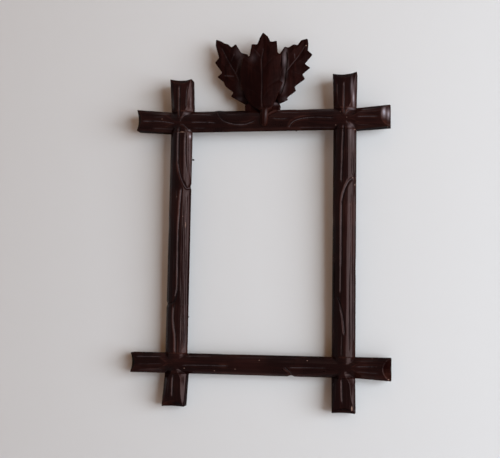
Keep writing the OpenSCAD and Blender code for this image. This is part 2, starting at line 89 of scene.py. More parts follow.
# Nearest to the tip that a horn's side facet is measured, and the distance over which the facet widens
FACET_END, FACET_RUN = 0.5, 9.0
# Distance on both sides of a corner over which the flare of a facet dies out
FLARE_REACH = 7.0
# How far below the top of the batten a facet ends
FACET_TOP = 0.1
# Distance over which a leaf's carving starts, above its stalk
LEAF_START = 5.0
# Height of the tool marks on a leaf beside that on a batten
LEAF_MARKS = 0.1
# Half width of a batten's edge that a nick moves
NICK_REACH = 11.0
# Distance between the points of a cut's smoothed path
PATH_STEP = 0.7
# Distance from the bottom line of a cut at which its dust and painted highlight are down to half, and how
# strong they are at most
LINE_REACH, LINE_STRENGTH = 0.32, 0.65
# Width of the wall and of the floor, and how far below the ring the floor lies, in metres
STAGE_SIZE, FLOOR_DROP = 6.0, 1.2
# How much of the floor's look is its even pale colour, where the rest is the light that falls on it
EVEN_FLOOR = 0.8
# The brad that shows in the photograph
LOOSE_BRAD = "sprig_left_upper"
# Middle of the frame, which all lamps point at, in metres
AIM = (0, 0, -0.12)
# The camera's place in metres, its turn to the left, up and round in degrees, and its sensor and lens,
# found from where the crossings and the horns' tips lie in the photograph
CAMERA_PLACE = (0.14208, -0.8715, -0.19801)
CAMERA_TURN = (10.031, 5.55, 0.974)
CAMERA_SENSOR, CAMERA_LENS = 36, 63.36


class FrameForm(bpy.types.PropertyGroup):
    """Sizes of the wood that the carving starts from."""

    stile_gap: bpy.props.FloatProperty(
        name="Stile gap", description="Distance between the stiles' centre lines",
        default=0.1665, unit="LENGTH")
    rail_gap: bpy.props.FloatProperty(
        name="Rail gap", description="Distance between the rails' centre lines",
        default=0.2445, unit="LENGTH")
    top_height: bpy.props.FloatProperty(
        name="Top rail height", description="Height of the top rail's centre line",
        default=-0.003, unit="LENGTH")
    stile_width: bpy.props.FloatProperty(
        name="Stile width", description="Width of a stile",
        default=0.0225, unit="LENGTH")
    top_rail_width: bpy.props.FloatProperty(
        name="Top rail width", description="Width of the top rail",
        default=0.0215, unit="LENGTH")
    bottom_rail_width: bpy.props.FloatProperty(
        name="Bottom rail width", description="Width of the bottom rail",
        default=0.02, unit="LENGTH")
    thickness: bpy.props.FloatProperty(
        name="Thickness", description="Thickness of a batten at its middle",
        default=0.015, unit="LENGTH")
    crown_rise: bpy.props.FloatProperty(
        name="Crown", description="Rise of a batten's rounded front",
        default=0.006, unit="LENGTH")
    tip_rise: bpy.props.FloatProperty(
        name="Tip crown", description="Rise of a horn's front at its tip",
        default=0.0015, unit="LENGTH")
    facet_width: bpy.props.FloatProperty(
        name="Facet", description="Width of a horn's side facet along most of its way",
        default=0.005, unit="LENGTH")
    facet_flare: bpy.props.FloatProperty(
        name="Facet flare", description="How much wider a facet grows in the corner",
        default=0.005, unit="LENGTH")
    horn_taper: bpy.props.FloatProperty(
        name="Horn taper", description="How much a horn narrows on each side",
        default=0.0001, unit="LENGTH")
    scoop_length: bpy.props.FloatProperty(
        name="Scoop length", description="How far the hollow cut in a horn's end runs in",
        default=0.0055, unit="LENGTH")
    scoop_depth: bpy.props.FloatProperty(
        name="Scoop depth", description="Depth of the hollow cut at the tip",
        default=0.0085, unit="LENGTH")
    grain: bpy.props.FloatProperty(
        name="Carving grain", description="Spacing of the points that a batten is carved with",
        default=0.0005, unit="LENGTH")
    leaf_grain: bpy.props.FloatProperty(
        name="Leaf grain", description="Spacing of the points that a leaf is carved with",
        default=0.0003, unit="LENGTH")
    tool_marks: bpy.props.FloatProperty(
        name="Tool marks", description="Height of the long ripples that the gouge leaves",
        default=0.00018, unit="LENGTH")
    leaf_full: bpy.props.FloatProperty(
        name="Leaf thickness", description="Thickness of a leaf well inside its outline",
        default=0.0046, unit="LENGTH")
    leaf_rim: bpy.props.FloatProperty(
        name="Leaf rim", description="Thickness of a leaf at its outline",
        default=0.0018, unit="LENGTH")
    leaf_run: bpy.props.FloatProperty(
        name="Leaf slope", description="Distance from its outline over which a leaf grows thicker",
        default=0.012, unit="LENGTH")


class FrameFinish(bpy.types.PropertyGroup):
    """Colours and gloss of the wood and the metal."""

    stain: bpy.props.FloatVectorProperty(
        name="Stain", description="Darkest colour of the lacquered wood",
        subtype="COLOR", size=3, default=(0.0044, 0.0005, 0.0004))
    stain_light: bpy.props.FloatVectorProperty(
        name="Thin stain", description="Colour where the grain takes less stain",
        subtype="COLOR", size=3, default=(0.0152, 0.0034, 0.0027))
    rubbed: bpy.props.FloatVectorProperty(
        name="Rubbed edges", description="Colour of edges that hands have worn",
        subtype="COLOR", size=3, default=(0.075, 0.026, 0.018))
    bare: bpy.props.FloatVectorProperty(
        name="Bare wood", description="Colour of wood where the lacquer is chipped off",
        subtype="COLOR", size=3, default=(0.24, 0.15, 0.12))
    back: bpy.props.FloatVectorProperty(
        name="Back", description="Colour of the wood's unlacquered back",
        subtype="COLOR", size=3, default=(0.075, 0.036, 0.02))
    # Colour of the dust in the cuts, also used as the colour of painted highlights
    dust: bpy.props.FloatVectorProperty(
        name="Dust", description="Colour of the dust and old wax in the cuts",
        subtype="COLOR", size=3, default=(0.16, 0.126, 0.136))
    # Colour of the painted glint on the strongest painted highlights
    painted_glint: bpy.props.FloatVectorProperty(
        name="Glint", description="Colour of the few palest spots of old wax",
        subtype="COLOR", size=3, default=(0.34, 0.33, 0.39))
    gloss: bpy.props.FloatProperty(
        name="Roughness", description="Roughness of the satin lacquer",
        default=0.15, min=0.05, max=1.0)
    sheen: bpy.props.FloatVectorProperty(
        name="Sheen", description="Colour that the lacquer gives to what it reflects",
        subtype="COLOR", size=3, default=(1.0, 0.64, 0.6))
    brass: bpy.props.FloatVectorProperty(
        name="Brass", description="Colour of the aged brass",
        subtype="COLOR", size=3, default=(0.52, 0.36, 0.14))
    iron: bpy.props.FloatVectorProperty(
        name="Iron", description="Colour of the old iron nails",
        subtype="COLOR", size=3, default=(0.16, 0.145, 0.135))
    birch: bpy.props.FloatVectorProperty(
        name="Dowels", description="Colour of the birch dowels",
        subtype="COLOR", size=3, default=(0.46, 0.31, 0.18))


class FrameStage(bpy.types.PropertyGroup):
    """The pale wall and the soft light."""

    wall: bpy.props.FloatVectorProperty(
        name="Wall", description="Colour of the wall",
        subtype="COLOR", size=3, default=(0.652, 0.658, 0.676))
    wall_gap: bpy.props.FloatProperty(
        name="Wall gap", description="Distance from the frame's back to the wall, at the ring",
        default=0.0098, unit="LENGTH")
    lean: bpy.props.FloatProperty(
        name="Lean", description="How far the hung frame leans out from the wall at its top",
        default=0.023, subtype="ANGLE")
    glow: bpy.props.FloatVectorProperty(
        name="Glow", description="Colour of the light from all round",
        subtype="COLOR", size=3, default=(1.0, 0.52, 0.24))
    ambient: bpy.props.FloatProperty(
        name="Ambient", description="Strength of the light from all round",
        default=0.24, min=0.0)
    key: bpy.props.FloatProperty(
        name="Softbox", description="Power of the broad light at the front right",
        default=17.0, unit="POWER")
    strip: bpy.props.FloatProperty(
        name="Window", description="Power of the low window light at the far right",
        default=63.0, unit="POWER")
    sky: bpy.props.FloatProperty(
        name="Skylight", description="Power of the faint light from above",
        default=0.7, unit="POWER")
    behind: bpy.props.FloatProperty(
        name="Behind", description="Power of the light behind the frame",
        default=16.0, unit="POWER")


class Tip(NamedTuple):
    """How far the corners of a horn's tip spread, how far it slants and how much longer its scoop is."""

    spread: float = 0.0
    slant: float = 0.0
    longer: float = 0.0


class Batten(NamedTuple):
    """One of the four battens, with its middle line, where its corners lie and the tips of its horns."""

    node: str
    along: int
    centre: float
    width: float
    corners: tuple
    tips: tuple = (Tip(), Tip())


class Leaf(NamedTuple):
    """One of the three leaves, with its root, its lean to the right in degrees, how far its back lies in
    front of the frame's back, and how far above the root its carving starts."""

    node: str
    root: tuple
    lean: float
    back: float
    start: float


class Cut(NamedTuple):
    """One cut of the gouge over the front: its path as (x, z), its depth, the reach of its two walls, the
    length over which its ends fade, and how much dust and painted highlight lies along its bottom line.

    The first wall lies on the left of a path that runs down, and below one that runs to the right."""

    path: tuple
    depth: float = 1.1
    first: float = 1.3
    second: float = 1.3
    fade: float = 5.0
    dust_and_highlight_share: float = 1.0


class Nick(NamedTuple):
    """A nick in a batten's edge: its place, depth and half length. A negative depth is a swelling."""

    x: float
    z: float
    depth: float
    length: float


class Spot(NamedTuple):
    """A soft-edged place on the front: its middle, its half width and half height, and how strong it is."""

    x: float
    z: float
    wide: float
    high: float
    share: float = 0.8


class Lamp(NamedTuple):
    """A soft rectangular lamp: the property with its power, its place and size in metres, its colour."""

    power: str
    place: tuple
    size: tuple
    colour: tuple


# Cuts down the left stile, from its upper tip to its foot
LEFT_STILE_CUTS = (
    Cut(((-85.3, 35), (-84.9, 19.6), (-84.6, -0.5)), 1.2),
    Cut(((-84.7, -7), (-85.2, -25), (-84.8, -46), (-82.6, -58), (-79.4, -66.5), (-75.6, -72), (-71, -70)),
        1.4, 1.5, 2.2),
    Cut(((-78, -15), (-77.8, -38), (-75.4, -60)), 0.5, 0.9, 1.4, 8, 2.2),
    Cut(((-74.4, -15), (-74.2, -44), (-72.6, -62)), 0.5, 0.9, 1.1, 8, 2.6),
    Cut(((-75.5, 34.5), (-77.6, 29), (-77.8, 10.4)), 0.5, 0.8, 0.8, 4, 3.0),
    Cut(((-74.2, 24), (-73.9, 9)), 0.5, 0.7, 0.7, 4, 4.0),
    Cut(((-80.8, -71), (-82.1, -94), (-83, -120), (-82.8, -150), (-82.4, -171), (-84, -181)), 1.1, 1.2, 1.8),
    Cut(((-82.5, -173), (-84.6, -183), (-88.5, -188), (-95, -188)), 1.1, 1.2, 1.8, 3, 0.1),
    Cut(((-84.6, -188), (-85.7, -200), (-84.7, -212), (-82.9, -222), (-82.6, -239)), 1.5, 1.9, 1.3),
    Cut(((-75.8, -73), (-75.8, -94), (-75.9, -134), (-75.3, -184), (-74.9, -236)), 0.8, 1.2, 1.6, 9),
    Cut(((-72.6, -74), (-72.4, -96), (-71.4, -140), (-70.9, -184), (-70.6, -230)), 0.5, 0.9, 1.0, 9),
    Cut(((-86.6, -138), (-86.5, -157)), 0.5, 0.9, 0.9),
    Cut(((-85.7, -73), (-85.7, -85)), 0.5, 0.8, 0.8, 3),
    Cut(((-84.5, -257), (-84.9, -268.6), (-84.6, -282)), 1.2),
    Cut(((-89, -261), (-90.1, -279)), 0.5, 0.9, 0.9),
)
# Cuts down the right stile
RIGHT_STILE_CUTS = (
    Cut(((76.4, 34), (76.5, 6)), 0.5, 0.9, 0.9, 5, 0.3),
    Cut(((83.1, 34), (82.9, 8), (83.3, 0)), 1.2),
    Cut(((82.6, -9), (82.4, -17), (81.4, -50), (80.8, -68)), 1.3, 1.3, 1.3, 4),
    Cut(((75.9, -16), (75.8, -30)), 0.7, 0.9, 0.9, 4),
    Cut(((92.5, -62), (87.8, -65.9), (84, -73.8), (81.3, -84.7), (80.8, -104), (80.9, -134), (80.8, -152)),
        1.4, 1.4, 2.6, 4),
    Cut(((80.8, -146), (80.7, -178)), 1.0, 1.2, 2.2, 5, 0.2),
    Cut(((75.4, -178), (79.2, -185), (81.9, -193.9), (83.7, -205.4), (84.7, -217)), 1.5, 1.4, 1.8, 4),
    Cut(((82.5, -212), (82.2, -239)), 0.6, 1.0, 1.0, 5, 0.3),
    Cut(((90.2, -15), (90.6, -35), (91.4, -61)), 0.5, 1.5, 0.8, 5),
    Cut(((93.3, -16), (93, -60)), 0.4, 0.7, 0.8, 6),
    Cut(((89.8, -74), (89.5, -99), (89.7, -134), (88.6, -182), (89.3, -234)), 0.5, 1.6, 1.0, 8),
    Cut(((92.8, -75), (92.8, -134), (92.9, -224)), 0.4, 0.8, 0.8, 8),
    Cut(((82.3, -256), (82.7, -268), (83.2, -282)), 1.1),
    Cut(((76.5, -258), (76.2, -278)), 0.6, 0.9, 0.9),
)
# Cuts along the top rail, from its left tip to its right one
TOP_RAIL_CUTS = (
    Cut(((-84, -4), (-81.9, 0.3), (-78.7, 3.7), (-72.8, 6.1)), 0.7, 0.9, 1.2, 2, 0.9),
    Cut(((-84, -7), (-80.6, -6.4), (-75.4, -11.5), (-71.5, -14)), 0.7, 1.2, 0.9, 2, 0.9),
    Cut(((84.5, -1), (86.5, 3.4), (90, 5.4), (94.5, 7.6)), 0.7, 0.9, 1.2, 2, 0.7),
    Cut(((85, -6), (88.5, -9.4), (94, -13)), 0.7, 1.2, 0.9, 2, 0.7),
    Cut(((-124, -2), (-105, -2.5), (-89, -5.3)), 1.2),
    Cut(((-113, 2), (-99, 2.2)), 0.5, 1.0, 1.0),
    Cut(((-114, -9.5), (-88, -10.5)), 0.6, 1.0, 1.0),
    Cut(((-73.5, -4.2), (-62.9, -4.3), (-52, -4.8), (-45, -6)), 1.1),
    Cut(((-73.5, 4.2), (-59.9, 4.1), (-49, 3.5)), 0.8),
    Cut(((-72, -9.8), (-56, -10.3)), 0.6, 1.0, 1.0),
    Cut(((-47.2, 7.5), (-43.4, 1.2), (-38, -4), (-28, -6.9), (-16.3, -7.2), (-5.5, -3.8)), 1.4, 1.3, 2.4, 4),
    Cut(((-38, 3.3), (-18, 2.9)), 0.6, 1.2, 1.4),
    Cut(((11, -1.7), (20.2, -2.7), (28, -2.1)), 0.9, 1.1, 1.1, 4),
    Cut(((18, 4.1), (29.2, 3.8), (40, 3.6)), 0.8, 1.1, 1.3),
    Cut(((28.2, -12), (29.4, -8.3), (33.8, -4.8), (42.3, -2.5), (55.3, -1.8), (73, -2.8)), 1.5, 1.4, 2.2, 3),
    Cut(((37, -11.4), (54.4, -11.5), (73, -12)), 0.6, 0.9, 0.9),
    Cut(((95, -2), (106.6, -2), (117, -2.2)), 1.1),
    Cut(((94.8, 2.8), (108.5, 3.4), (118.2, 4.2)), 0.5, 1.0, 1.0),
    Cut(((94.9, -9.8), (108, -10.5)), 0.5, 1.0, 1.0),
)
# Cuts along the bottom rail
BOTTOM_RAIL_CUTS = (
    Cut(((-124, -241.6), (-110.8, -241.4), (-97, -241.2)), 1.0),
    Cut(((-122, -249), (-108.5, -248.6), (-95, -248.2)), 0.6, 1.2, 1.2),
    Cut(((-121.8, -255), (-108.3, -254), (-95, -254)), 0.5, 0.9, 0.9),
    Cut(((-72.7, -240.6), (-57.5, -240), (-44, -239.6)), 0.9),
    Cut(((-76, -249.2), (-59.3, -248.8), (-42.1, -248.8), (-28, -248.5)), 1.0),
    Cut(((-24, -240.7), (10.6, -239.8), (44, -239.8)), 0.5, 2.4, 1.4, 10),
    Cut(((26.4, -248.3), (30.4, -251.6), (34.2, -257.5)), 1.8, 1.6, 1.4, 1.5),
    Cut(((30.4, -248.8), (47, -248.4), (68, -248.2)), 0.9, 1.0, 1.0),
    Cut(((95, -246.2), (115, -245.6)), 0.9, 1.1, 1.1),
    Cut(((95, -241), (115, -240)), 0.5, 1.0, 1.0),
    Cut(((96, -250.8), (118, -252.2)), 0.6, 1.0, 1.0),
)
BATTEN_CUTS = LEFT_STILE_CUTS + RIGHT_STILE_CUTS + TOP_RAIL_CUTS + BOTTOM_RAIL_CUTS

# Nicks and swellings where the carving meets the battens' edges, and long shallow ones of the hand-cut wood
EDGE_NICKS = (
    Nick(-72, -69.5, 0.8, 3.5), Nick(-94.5, -188.5, 0.8, 4), Nick(32.5, -257.5, 1.1, 4),
    Nick(-44.5, 7.8, -0.6, 7), Nick(-94.5, -110, 0.25, 12), Nick(94.5, -150, 0.25, 15),
    Nick(72, -105, 0.2, 10), Nick(40, 7.8, 0.25, 12), Nick(-30, -237.5, 0.2, 12),
)

# Cuts of the three leaves: the midrib first, then the side veins
LEAF_CUTS = {
    "centre_leaf": (
        Cut(((0.9, 72), (-0.6, 59.8), (-0.2, 47.4), (0.3, 35.1), (0.1, 16.7), (1.4, -1)),
            0.75, 0.95, 0.6, 3),
        Cut(((-10, 71.5), (-5.8, 67.2), (-1.6, 62)), 0.5, 0.7, 0.7, 2),
        Cut(((14.8, 65), (8, 58), (0.5, 50)), 0.2, 2.0, 2.0, 4),
        Cut(((-18.5, 56), (-10, 50), (0, 42)), 0.2, 2.0, 2.0, 4),
        Cut(((19.5, 40), (10, 34), (1, 27)), 0.2, 2.0, 2.0, 4),
        Cut(((-20.5, 31), (-10, 27), (-0.5, 20)), 0.2, 2.0, 2.0, 4),
        Cut(((14.1, 28.6), (7.1, 26.7), (1.5, 18)), 0.1, 1.4, 1.4, 3),
        Cut(((-15, 20.5), (-7.1, 20.9), (-0.5, 13)), 0.1, 1.4, 1.4, 3),
    ),
    "left_leaf": (
        Cut(((-44.5, 76), (-35, 58.2), (-28.6, 47.4), (-24.5, 38)), 0.7, 0.8, 0.8, 3),
        Cut(((-25.4, 58.5), (-28.3, 47.5)), 0.6, 0.8, 0.8, 2),
        Cut(((-41, 45.7), (-29.5, 44.7)), 0.8, 0.9, 0.9, 2),
        Cut(((-29.5, 69), (-34, 60)), 0.6, 0.8, 0.8, 2),
        Cut(((-47, 58), (-35.5, 56)), 0.2, 1.2, 1.2, 3),
        Cut(((-34, 34), (-26, 38)), 0.25, 1.2, 1.2, 3),
    ),
    "right_leaf": (
        Cut(((43, 75), (34, 60.9), (25.9, 49.8), (21.5, 41)), 0.7, 0.8, 0.8, 3),
        Cut(((31.8, 67), (32.4, 60.4)), 0.8, 0.8, 0.8, 2),
        Cut(((22.6, 70), (24.2, 60), (22.8, 47), (21.6, 36), (17.5, 24)), 2.2, 4.6, 1.6, 4),
        Cut(((46, 57), (36, 59)), 0.25, 1.2, 1.2, 3),
        Cut(((41, 44), (28, 48)), 0.25, 1.3, 1.3, 3),
    ),
}

# Places where the lacquer is knocked off
CHIPS = (
    Spot(-102.9, -0.3, 1.3, 0.6), Spot(93.4, -14.2, 0.8, 0.7), Spot(79.1, 3.2, 0.7, 0.8),
    Spot(85.5, -2.5, 0.7, 0.7), Spot(74.7, -9.8, 0.7, 0.6), Spot(91.6, -62.4, 0.7, 0.9),
    Spot(93.8, -69.4, 0.8, 0.9), Spot(89.4, -89, 0.5, 5.5, 0.6), Spot(111.2, -238.2, 0.8, 0.6),
    Spot(-73.5, -252, 1.2, 0.7), Spot(-43, -253.8, 0.9, 0.6), Spot(-22, -251.6, 1.0, 0.6),
    Spot(1.8, -242.4, 1.0, 0.6), Spot(48.9, -241.6, 0.9, 0.6), Spot(-85.2, -80.6, 0.5, 2.2, 0.7),
    Spot(-78.6, -100.4, 0.6, 0.9), Spot(-76, -109, 0.5, 4.5), Spot(-71, -69.5, 0.7, 0.8),
    Spot(125.5, -12.5, 1.2, 0.8), Spot(92.2, -286, 0.9, 3.4, 0.9), Spot(126.8, -257.5, 1.0, 0.9),
    Spot(43.4, 74.5, 1.2, 0.9), Spot(-82, -14.2, 5.0, 0.5, 0.9),
)
# Painted highlights: places on a piece's lacquer lightened towards a lilac grey where the light catches
# them, and a paler painted glint where above 1
PAINTED_HIGHLIGHTS = {
    "centre_leaf": (Spot(-9.7, 61.4, 3.5, 4, 0.18), Spot(5.2, 2.5, 0.7, 4, 0.5)),
    "left_leaf": (
        Spot(-22, 32.6, 4, 7, 0.22), Spot(-25, 69.3, 4, 6, 0.2), Spot(-22.6, 58.8, 3, 6, 0.25),
        Spot(-23.8, 20.8, 4, 2, 0.25)),
    "right_leaf": (
        Spot(22.2, 62.7, 2, 8, 1.0), Spot(24.6, 55, 1.2, 5, 0.7), Spot(23.2, 47.6, 1.6, 5, 0.7),
        Spot(20.6, 33.6, 2.5, 6, 0.45), Spot(23.8, 19.5, 4, 2.5, 0.2), Spot(13.5, 14.3, 3.5, 1.5, 0.4)),
    "top_rail": (
        Spot(-77.4, 5, 2.4, 1.3, 0.6), Spot(-74.6, -12, 1.1, 0.8, 1.0), Spot(90, 6.6, 3, 1.0, 0.7),
        Spot(89.5, -10.6, 2.4, 1.6, 0.4), Spot(17.7, 7.2, 1.5, 1, 0.6), Spot(122, 2, 1.8, 4.2, 1.5),
        Spot(126.2, 0.5, 1.6, 4.5, 1.2)),
    "left_stile": (Spot(-73.8, -18.3, 0.8, 1.8, 1.6),),
    "right_stile": (
        Spot(92, 17, 0.9, 6, 1.4), Spot(90.4, 29, 1.1, 7, 0.7), Spot(89.4, -20, 1.0, 7, 0.6),
        Spot(92.2, -26, 0.8, 9, 0.5)),
}

LAMPS = {
    "softbox": Lamp("key", (1.13, -1.42, -0.06), (0.6, 1.1), (0.87, 0.96, 1.0)),
    "window": Lamp("strip", (2.3, -1.22, -0.1), (1.3, 1.7), (0.86, 0.94, 1.0)),
    "skylight": Lamp("sky", (0.15, -0.9, 0.8), (0.8, 0.3), (1.0, 0.9, 0.8)),
    "back_room": Lamp("behind", (-0.5, 1.5, 0.5), (1.2, 1.2), (1.0, 0.98, 0.95)),
}


def ease(value):
    """0 below 0, 1 above 1, and a smooth way between them."""
    t = np.clip(value, 0, 1)
    return t * t * (3 - 2 * t)


def between(value, low, high):
    """0 at low, 1 at high, and a smooth way between them."""
    return ease((value - low) / (high - low))


def read_vectors(items, name):
    """A three-number value of every item as rows."""
    values = np.empty(len(items) * 3, np.float32)
    items.foreach_get(name, values)
    return values.reshape(-1, 3).astype(float)


def mesh_points(mesh):
    """The mesh's points in millimetres."""
    return read_vectors(mesh.vertices, "co") / MM


def move_points(mesh, points):
    """Puts the mesh's points at places given in millimetres."""
    mesh.vertices.foreach_set("co", (points * MM).astype(np.float32).ravel())
    mesh.update()


def add_object(name, mesh):
    """A new object in the scene with a mesh."""
    made = bpy.data.objects.new(name, mesh)
    bpy.context.scene.collection.objects.link(made)
    return made


def smooth_path(path):
    """Points about PATH_STEP apart on a curve through the given ones."""
    points = np.array([path[0], *path, path[-1]], float)
    rows = []
    for before, start, end, after in zip(points, points[1:], points[2:], points[3:]):
        steps = max(2, int(np.hypot(*(end - start)) / PATH_STEP))
        t = np.linspace(0, 1, steps, endpoint=False)[:, None]
        square = 2 * before - 5 * start + 4 * end - after
        cube = 3 * start - before - 3 * end + after
        rows.append(0.5 * (2 * start + (end - before) * t + square * t ** 2 + cube * t ** 3))
    return np.vstack([*rows, points[-1:]])


def cut_depths(cuts, x, z):
    """How deep the cuts go below the front at each point, and how much dust and painted highlight it gets
    from lying near the bottom line of a cut.
    """
    deepest, line = np.zeros(len(x)), np.zeros(len(x))
    for cut in cuts:
        path = smooth_path(cut.path)
        reach = max(cut.first, cut.second)
        low, high = path.min(0) - reach, path.max(0) + reach
        near = np.flatnonzero((x > low[0]) & (x < high[0]) & (z > low[1]) & (z < high[1]))
        if not len(near):
            continue
        away = np.stack([x[near], z[near]], 1)[:, None] - path[None]
        closest = (away ** 2).sum(2).argmin(1)
        offset = away[np.arange(len(near)), closest]
        heading = np.gradient(path, axis=0)[closest]
        side = heading[:, 0] * offset[:, 1] - heading[:, 1] * offset[:, 0]
        distance = np.hypot(*offset.T)
        wall = np.clip(1 - distance / np.where(side < 0, cut.first, cut.second), 0, 1)
        travelled = np.concatenate([[0], np.hypot(*np.diff(path, axis=0).T).cumsum()])
        ends = ease(travelled / cut.fade) * ease((travelled[-1] - travelled) / cut.fade)
        deepest[near] = np.maximum(deepest[near], cut.depth * wall * ends[closest])
        # Dust and painted highlight along the cut's bottom line, strongest on the line itself
        strength = LINE_STRENGTH * cut.dust_and_highlight_share * min(1, cut.depth) ** 2
        dust_and_highlight_share = strength * np.clip(1.5 - distance / LINE_REACH, 0, 1)
        line[near] = np.maximum(line[near], dust_and_highlight_share * ends[closest])
    return deepest, line


def crown(across, width, rise, thickness):
    """Height of a rounded front, a circular arc that rises from edge to edge."""
    radius = (width * width / 4 + rise * rise) / (2 * rise)
    return thickness - radius + np.sqrt(np.maximum(radius * radius - across * across, 0))


def tip_place(batten, way, slant):
    """How far out a batten's tip lies, and its drift from the middle line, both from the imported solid."""
    points = mesh_points(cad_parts[batten.node].data)
    along = way * points[:, batten.along]
    corners = points[along > along.max() - TIP_SLACK - slant, Z - batten.along]
    return along.max() - slant / 2, (corners.min() + corners.max()) / 2 - batten.centre


def horn_front(form, width, across, out, reach, drift, tip):
    """Height of a horn's front at a distance out from its corner: two facets run out along a nearly flat
    face, and the hollow cut of a gouge slants down to the tip."""
    thickness, rise, tip_rise = form.thickness / MM, form.crown_rise / MM, form.tip_rise / MM
    taper = form.horn_taper / MM - tip.spread
    share = np.clip(out / reach, 0, 1)
    front = crown(across, width + 2 * (abs(drift) + tip.spread), tip_rise, thickness)
    edge = thickness - rise + (rise - tip_rise) * share
    facet = form.facet_width / MM * (1 - np.exp(-np.maximum(reach - out, FACET_END) / FACET_RUN))
    facet += form.facet_flare / MM * between(out, FLARE_REACH, -FLARE_REACH)
    for way in (1, -1):
        inward = width / 2 - taper * share - way * (across - drift * share)
        front = np.minimum(front, edge + (thickness - FACET_TOP - edge) * inward / facet)
    half = width / 2 - taper
    length, depth = form.scoop_length / MM + tip.longer, form.scoop_depth / MM
    slope = math.hypot(length, depth)
    dip = (depth - tip_rise) * length / slope
    radius = ((half + SCOOP_SIDE) ** 2 + dip * dip) / (2 * dip)
    aside = across - drift
    sag = radius - np.sqrt(np.maximum(radius * radius - aside * aside, 0))
    inward = reach + tip.slant * aside / (2 * half) - out
    return np.minimum(front, thickness - depth + (inward * depth + sag * slope) / length)


def batten_front(form, batten, x, z):
    """Height of a batten's front before its cuts are made."""
    across, along = (z, x) if batten.along == X else (x, z)
    across = across - batten.centre
    front = crown(across, batten.width, form.crown_rise / MM, form.thickness / MM)
    for way, corner, tip in zip((-1, 1), batten.corners, batten.tips):
        end, drift = tip_place(batten, way, tip.slant)
        out = way * along - way * corner
        horn = horn_front(form, batten.width, across, out, end - way * corner, drift, tip)
        share = ease(1 + out / CORNER_BLEND)
        front = front * (1 - share) + horn * share
    return front


def crossed_front(form, rail, stiles, x, z):
    """Height of a rail's front, raised to the front of each stile where they cross."""
    height = batten_front(form, rail, x, z)
    beside_rail = np.abs(z - rail.centre) < rail.width / 2
    for stile in stiles:
        crossing = beside_rail & (np.abs(x - stile.centre) < stile.width / 2)
        height = np.where(crossing, np.maximum(height, batten_front(form, stile, x, z)), height)
    return height


def ripples(along, across):
    """Marks of the gouge, at most about 1 high, by the distances along a batten and across from its middle
    line: long flutes with sharp ridges between them that fade in and out, calmer at the middle, and finer
    waves."""
    drift = 0.39 * np.sin(along / 23 + across / 7) + 0.4 * np.sin(along / 41)
    flutes = 1 - 2 * np.abs(np.sin(0.4 + across * 0.86 + drift))
    flutes *= (0.6 + 0.4 * np.sin(along / 19 + across * 0.9)) * (0.3 + 0.7 * ease((np.abs(across) - 1) / 4))
    fine = np.sin(across * 2.9 - along / 31) * (0.5 + 0.5 * np.sin(along / 17 + across / 3))
    return (flutes + 0.4 * fine + 0.2 * np.sin(along / 5.3 + across)) / 1.6


def carving_block(node, spacing):
    """A new object with one node's solid as an even mesh that can be carved."""
    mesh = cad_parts[node].data.copy()
    solid = bmesh.new()
    solid.from_mesh(mesh)
    bmesh.ops.remove_doubles(solid, verts=solid.verts, dist=MERGE)
    solid.to_mesh(mesh)
    solid.free()
    block = add_object(node + "_carved", mesh)
    shape = add_object(node + "_shape", mesh)
    remesh = block.modifiers.new("Even mesh", "REMESH")
    remesh.mode = "VOXEL"
    remesh.voxel_size = spacing * 1
    relax = block.modifiers.new("Relaxed mesh", "SMOOTH")
    relax.factor, relax.iterations = 0.5, 4
    wrap = block.modifiers.new("True shape", "SHRINKWRAP")
    wrap.target = shape
    even = bpy.data.meshes.new_from_object(block.evaluated_get(bpy.context.evaluated_depsgraph_get()))
    block.modifiers.clear()
    block.data = even
    bpy.data.objects.remove(shape)
    even.materials.clear()
    even.polygons.foreach_set("use_smooth", [True] * len(even.polygons))
    return block


def front_share(points, normals):
    """1 on the carved front of a batten, 0 elsewhere."""
    return np.where(points[:, Y] < -JOINT_DEPTH, between(-normals[:, Y], *FRONT_LEAN), 0)


def nearest_line(form, x, z):
    """The axis and the middle line of the batten whose edge a place lies on. The lines from the frame's
    middle through its crossings part the stiles from the rails."""
    side, top = form.stile_gap / MM / 2, form.top_height / MM
    half_rise = form.rail_gap / MM / 2
    middle = top - half_rise
    if abs(x) / side > abs(z - middle) / half_rise:
        return Z, math.copysign(side, x)
    return X, middle + math.copysign(half_rise, z - middle)


def nick_edges(form, points, nicks):
    """Moves the wood beside each nick towards the middle of its batten."""
    for nick in nicks:
        along, line = nearest_line(form, nick.x, nick.z)
        across = Z - along
        place = np.array((nick.x, 0, nick.z))
        outwards = np.sign(place[across] - line)
        root = place[across] - outwards * NICK_REACH
        beside = np.abs(points[:, across] - place[across]) < NICK_REACH
        share = ease(1 - np.abs(points[:, along] - place[along]) / nick.length)
        pull = (points[:, across] - root) / (place[across] - root)
        share = np.where(beside & (pull > 0), share * np.clip(pull, 0, 1) ** 3, 0)
        points[:, across] -= outwards * nick.depth * share
    return points


def store(mesh, name, values):
    """Keeps a number at each of the mesh's points, for its material."""
    layer = mesh.attributes.new(name, "FLOAT", "POINT")
    layer.data.foreach_set("value", values.astype(np.float32))


def spots(points, normals, places):
    """How much each point lies inside some of the places on the front."""
    inside = np.zeros(len(points))
    for spot in places:
        away = ((points[:, X] - spot.x) / spot.wide) ** 2 + ((points[:, Z] - spot.z) / spot.high) ** 2
        inside = np.maximum(inside, spot.share * np.exp(-away) * (normals[:, Y] < SPOT_LEAN))
    return inside


def neighbour_mean(mesh):
    """A function that gives the mean of a value over the neighbours of each of the mesh's points."""
    ends = np.empty(len(mesh.edges) * 2, np.int32)
    mesh.edges.foreach_get("vertices", ends)
    first, second = ends.reshape(-1, 2).T
    size = len(mesh.vertices)
    count = np.maximum(np.bincount(first, minlength=size) + np.bincount(second, minlength=size), 1)

    def around(values):
        total = np.bincount(first, values[second], size) + np.bincount(second, values[first], size)
        return total / count

    return around


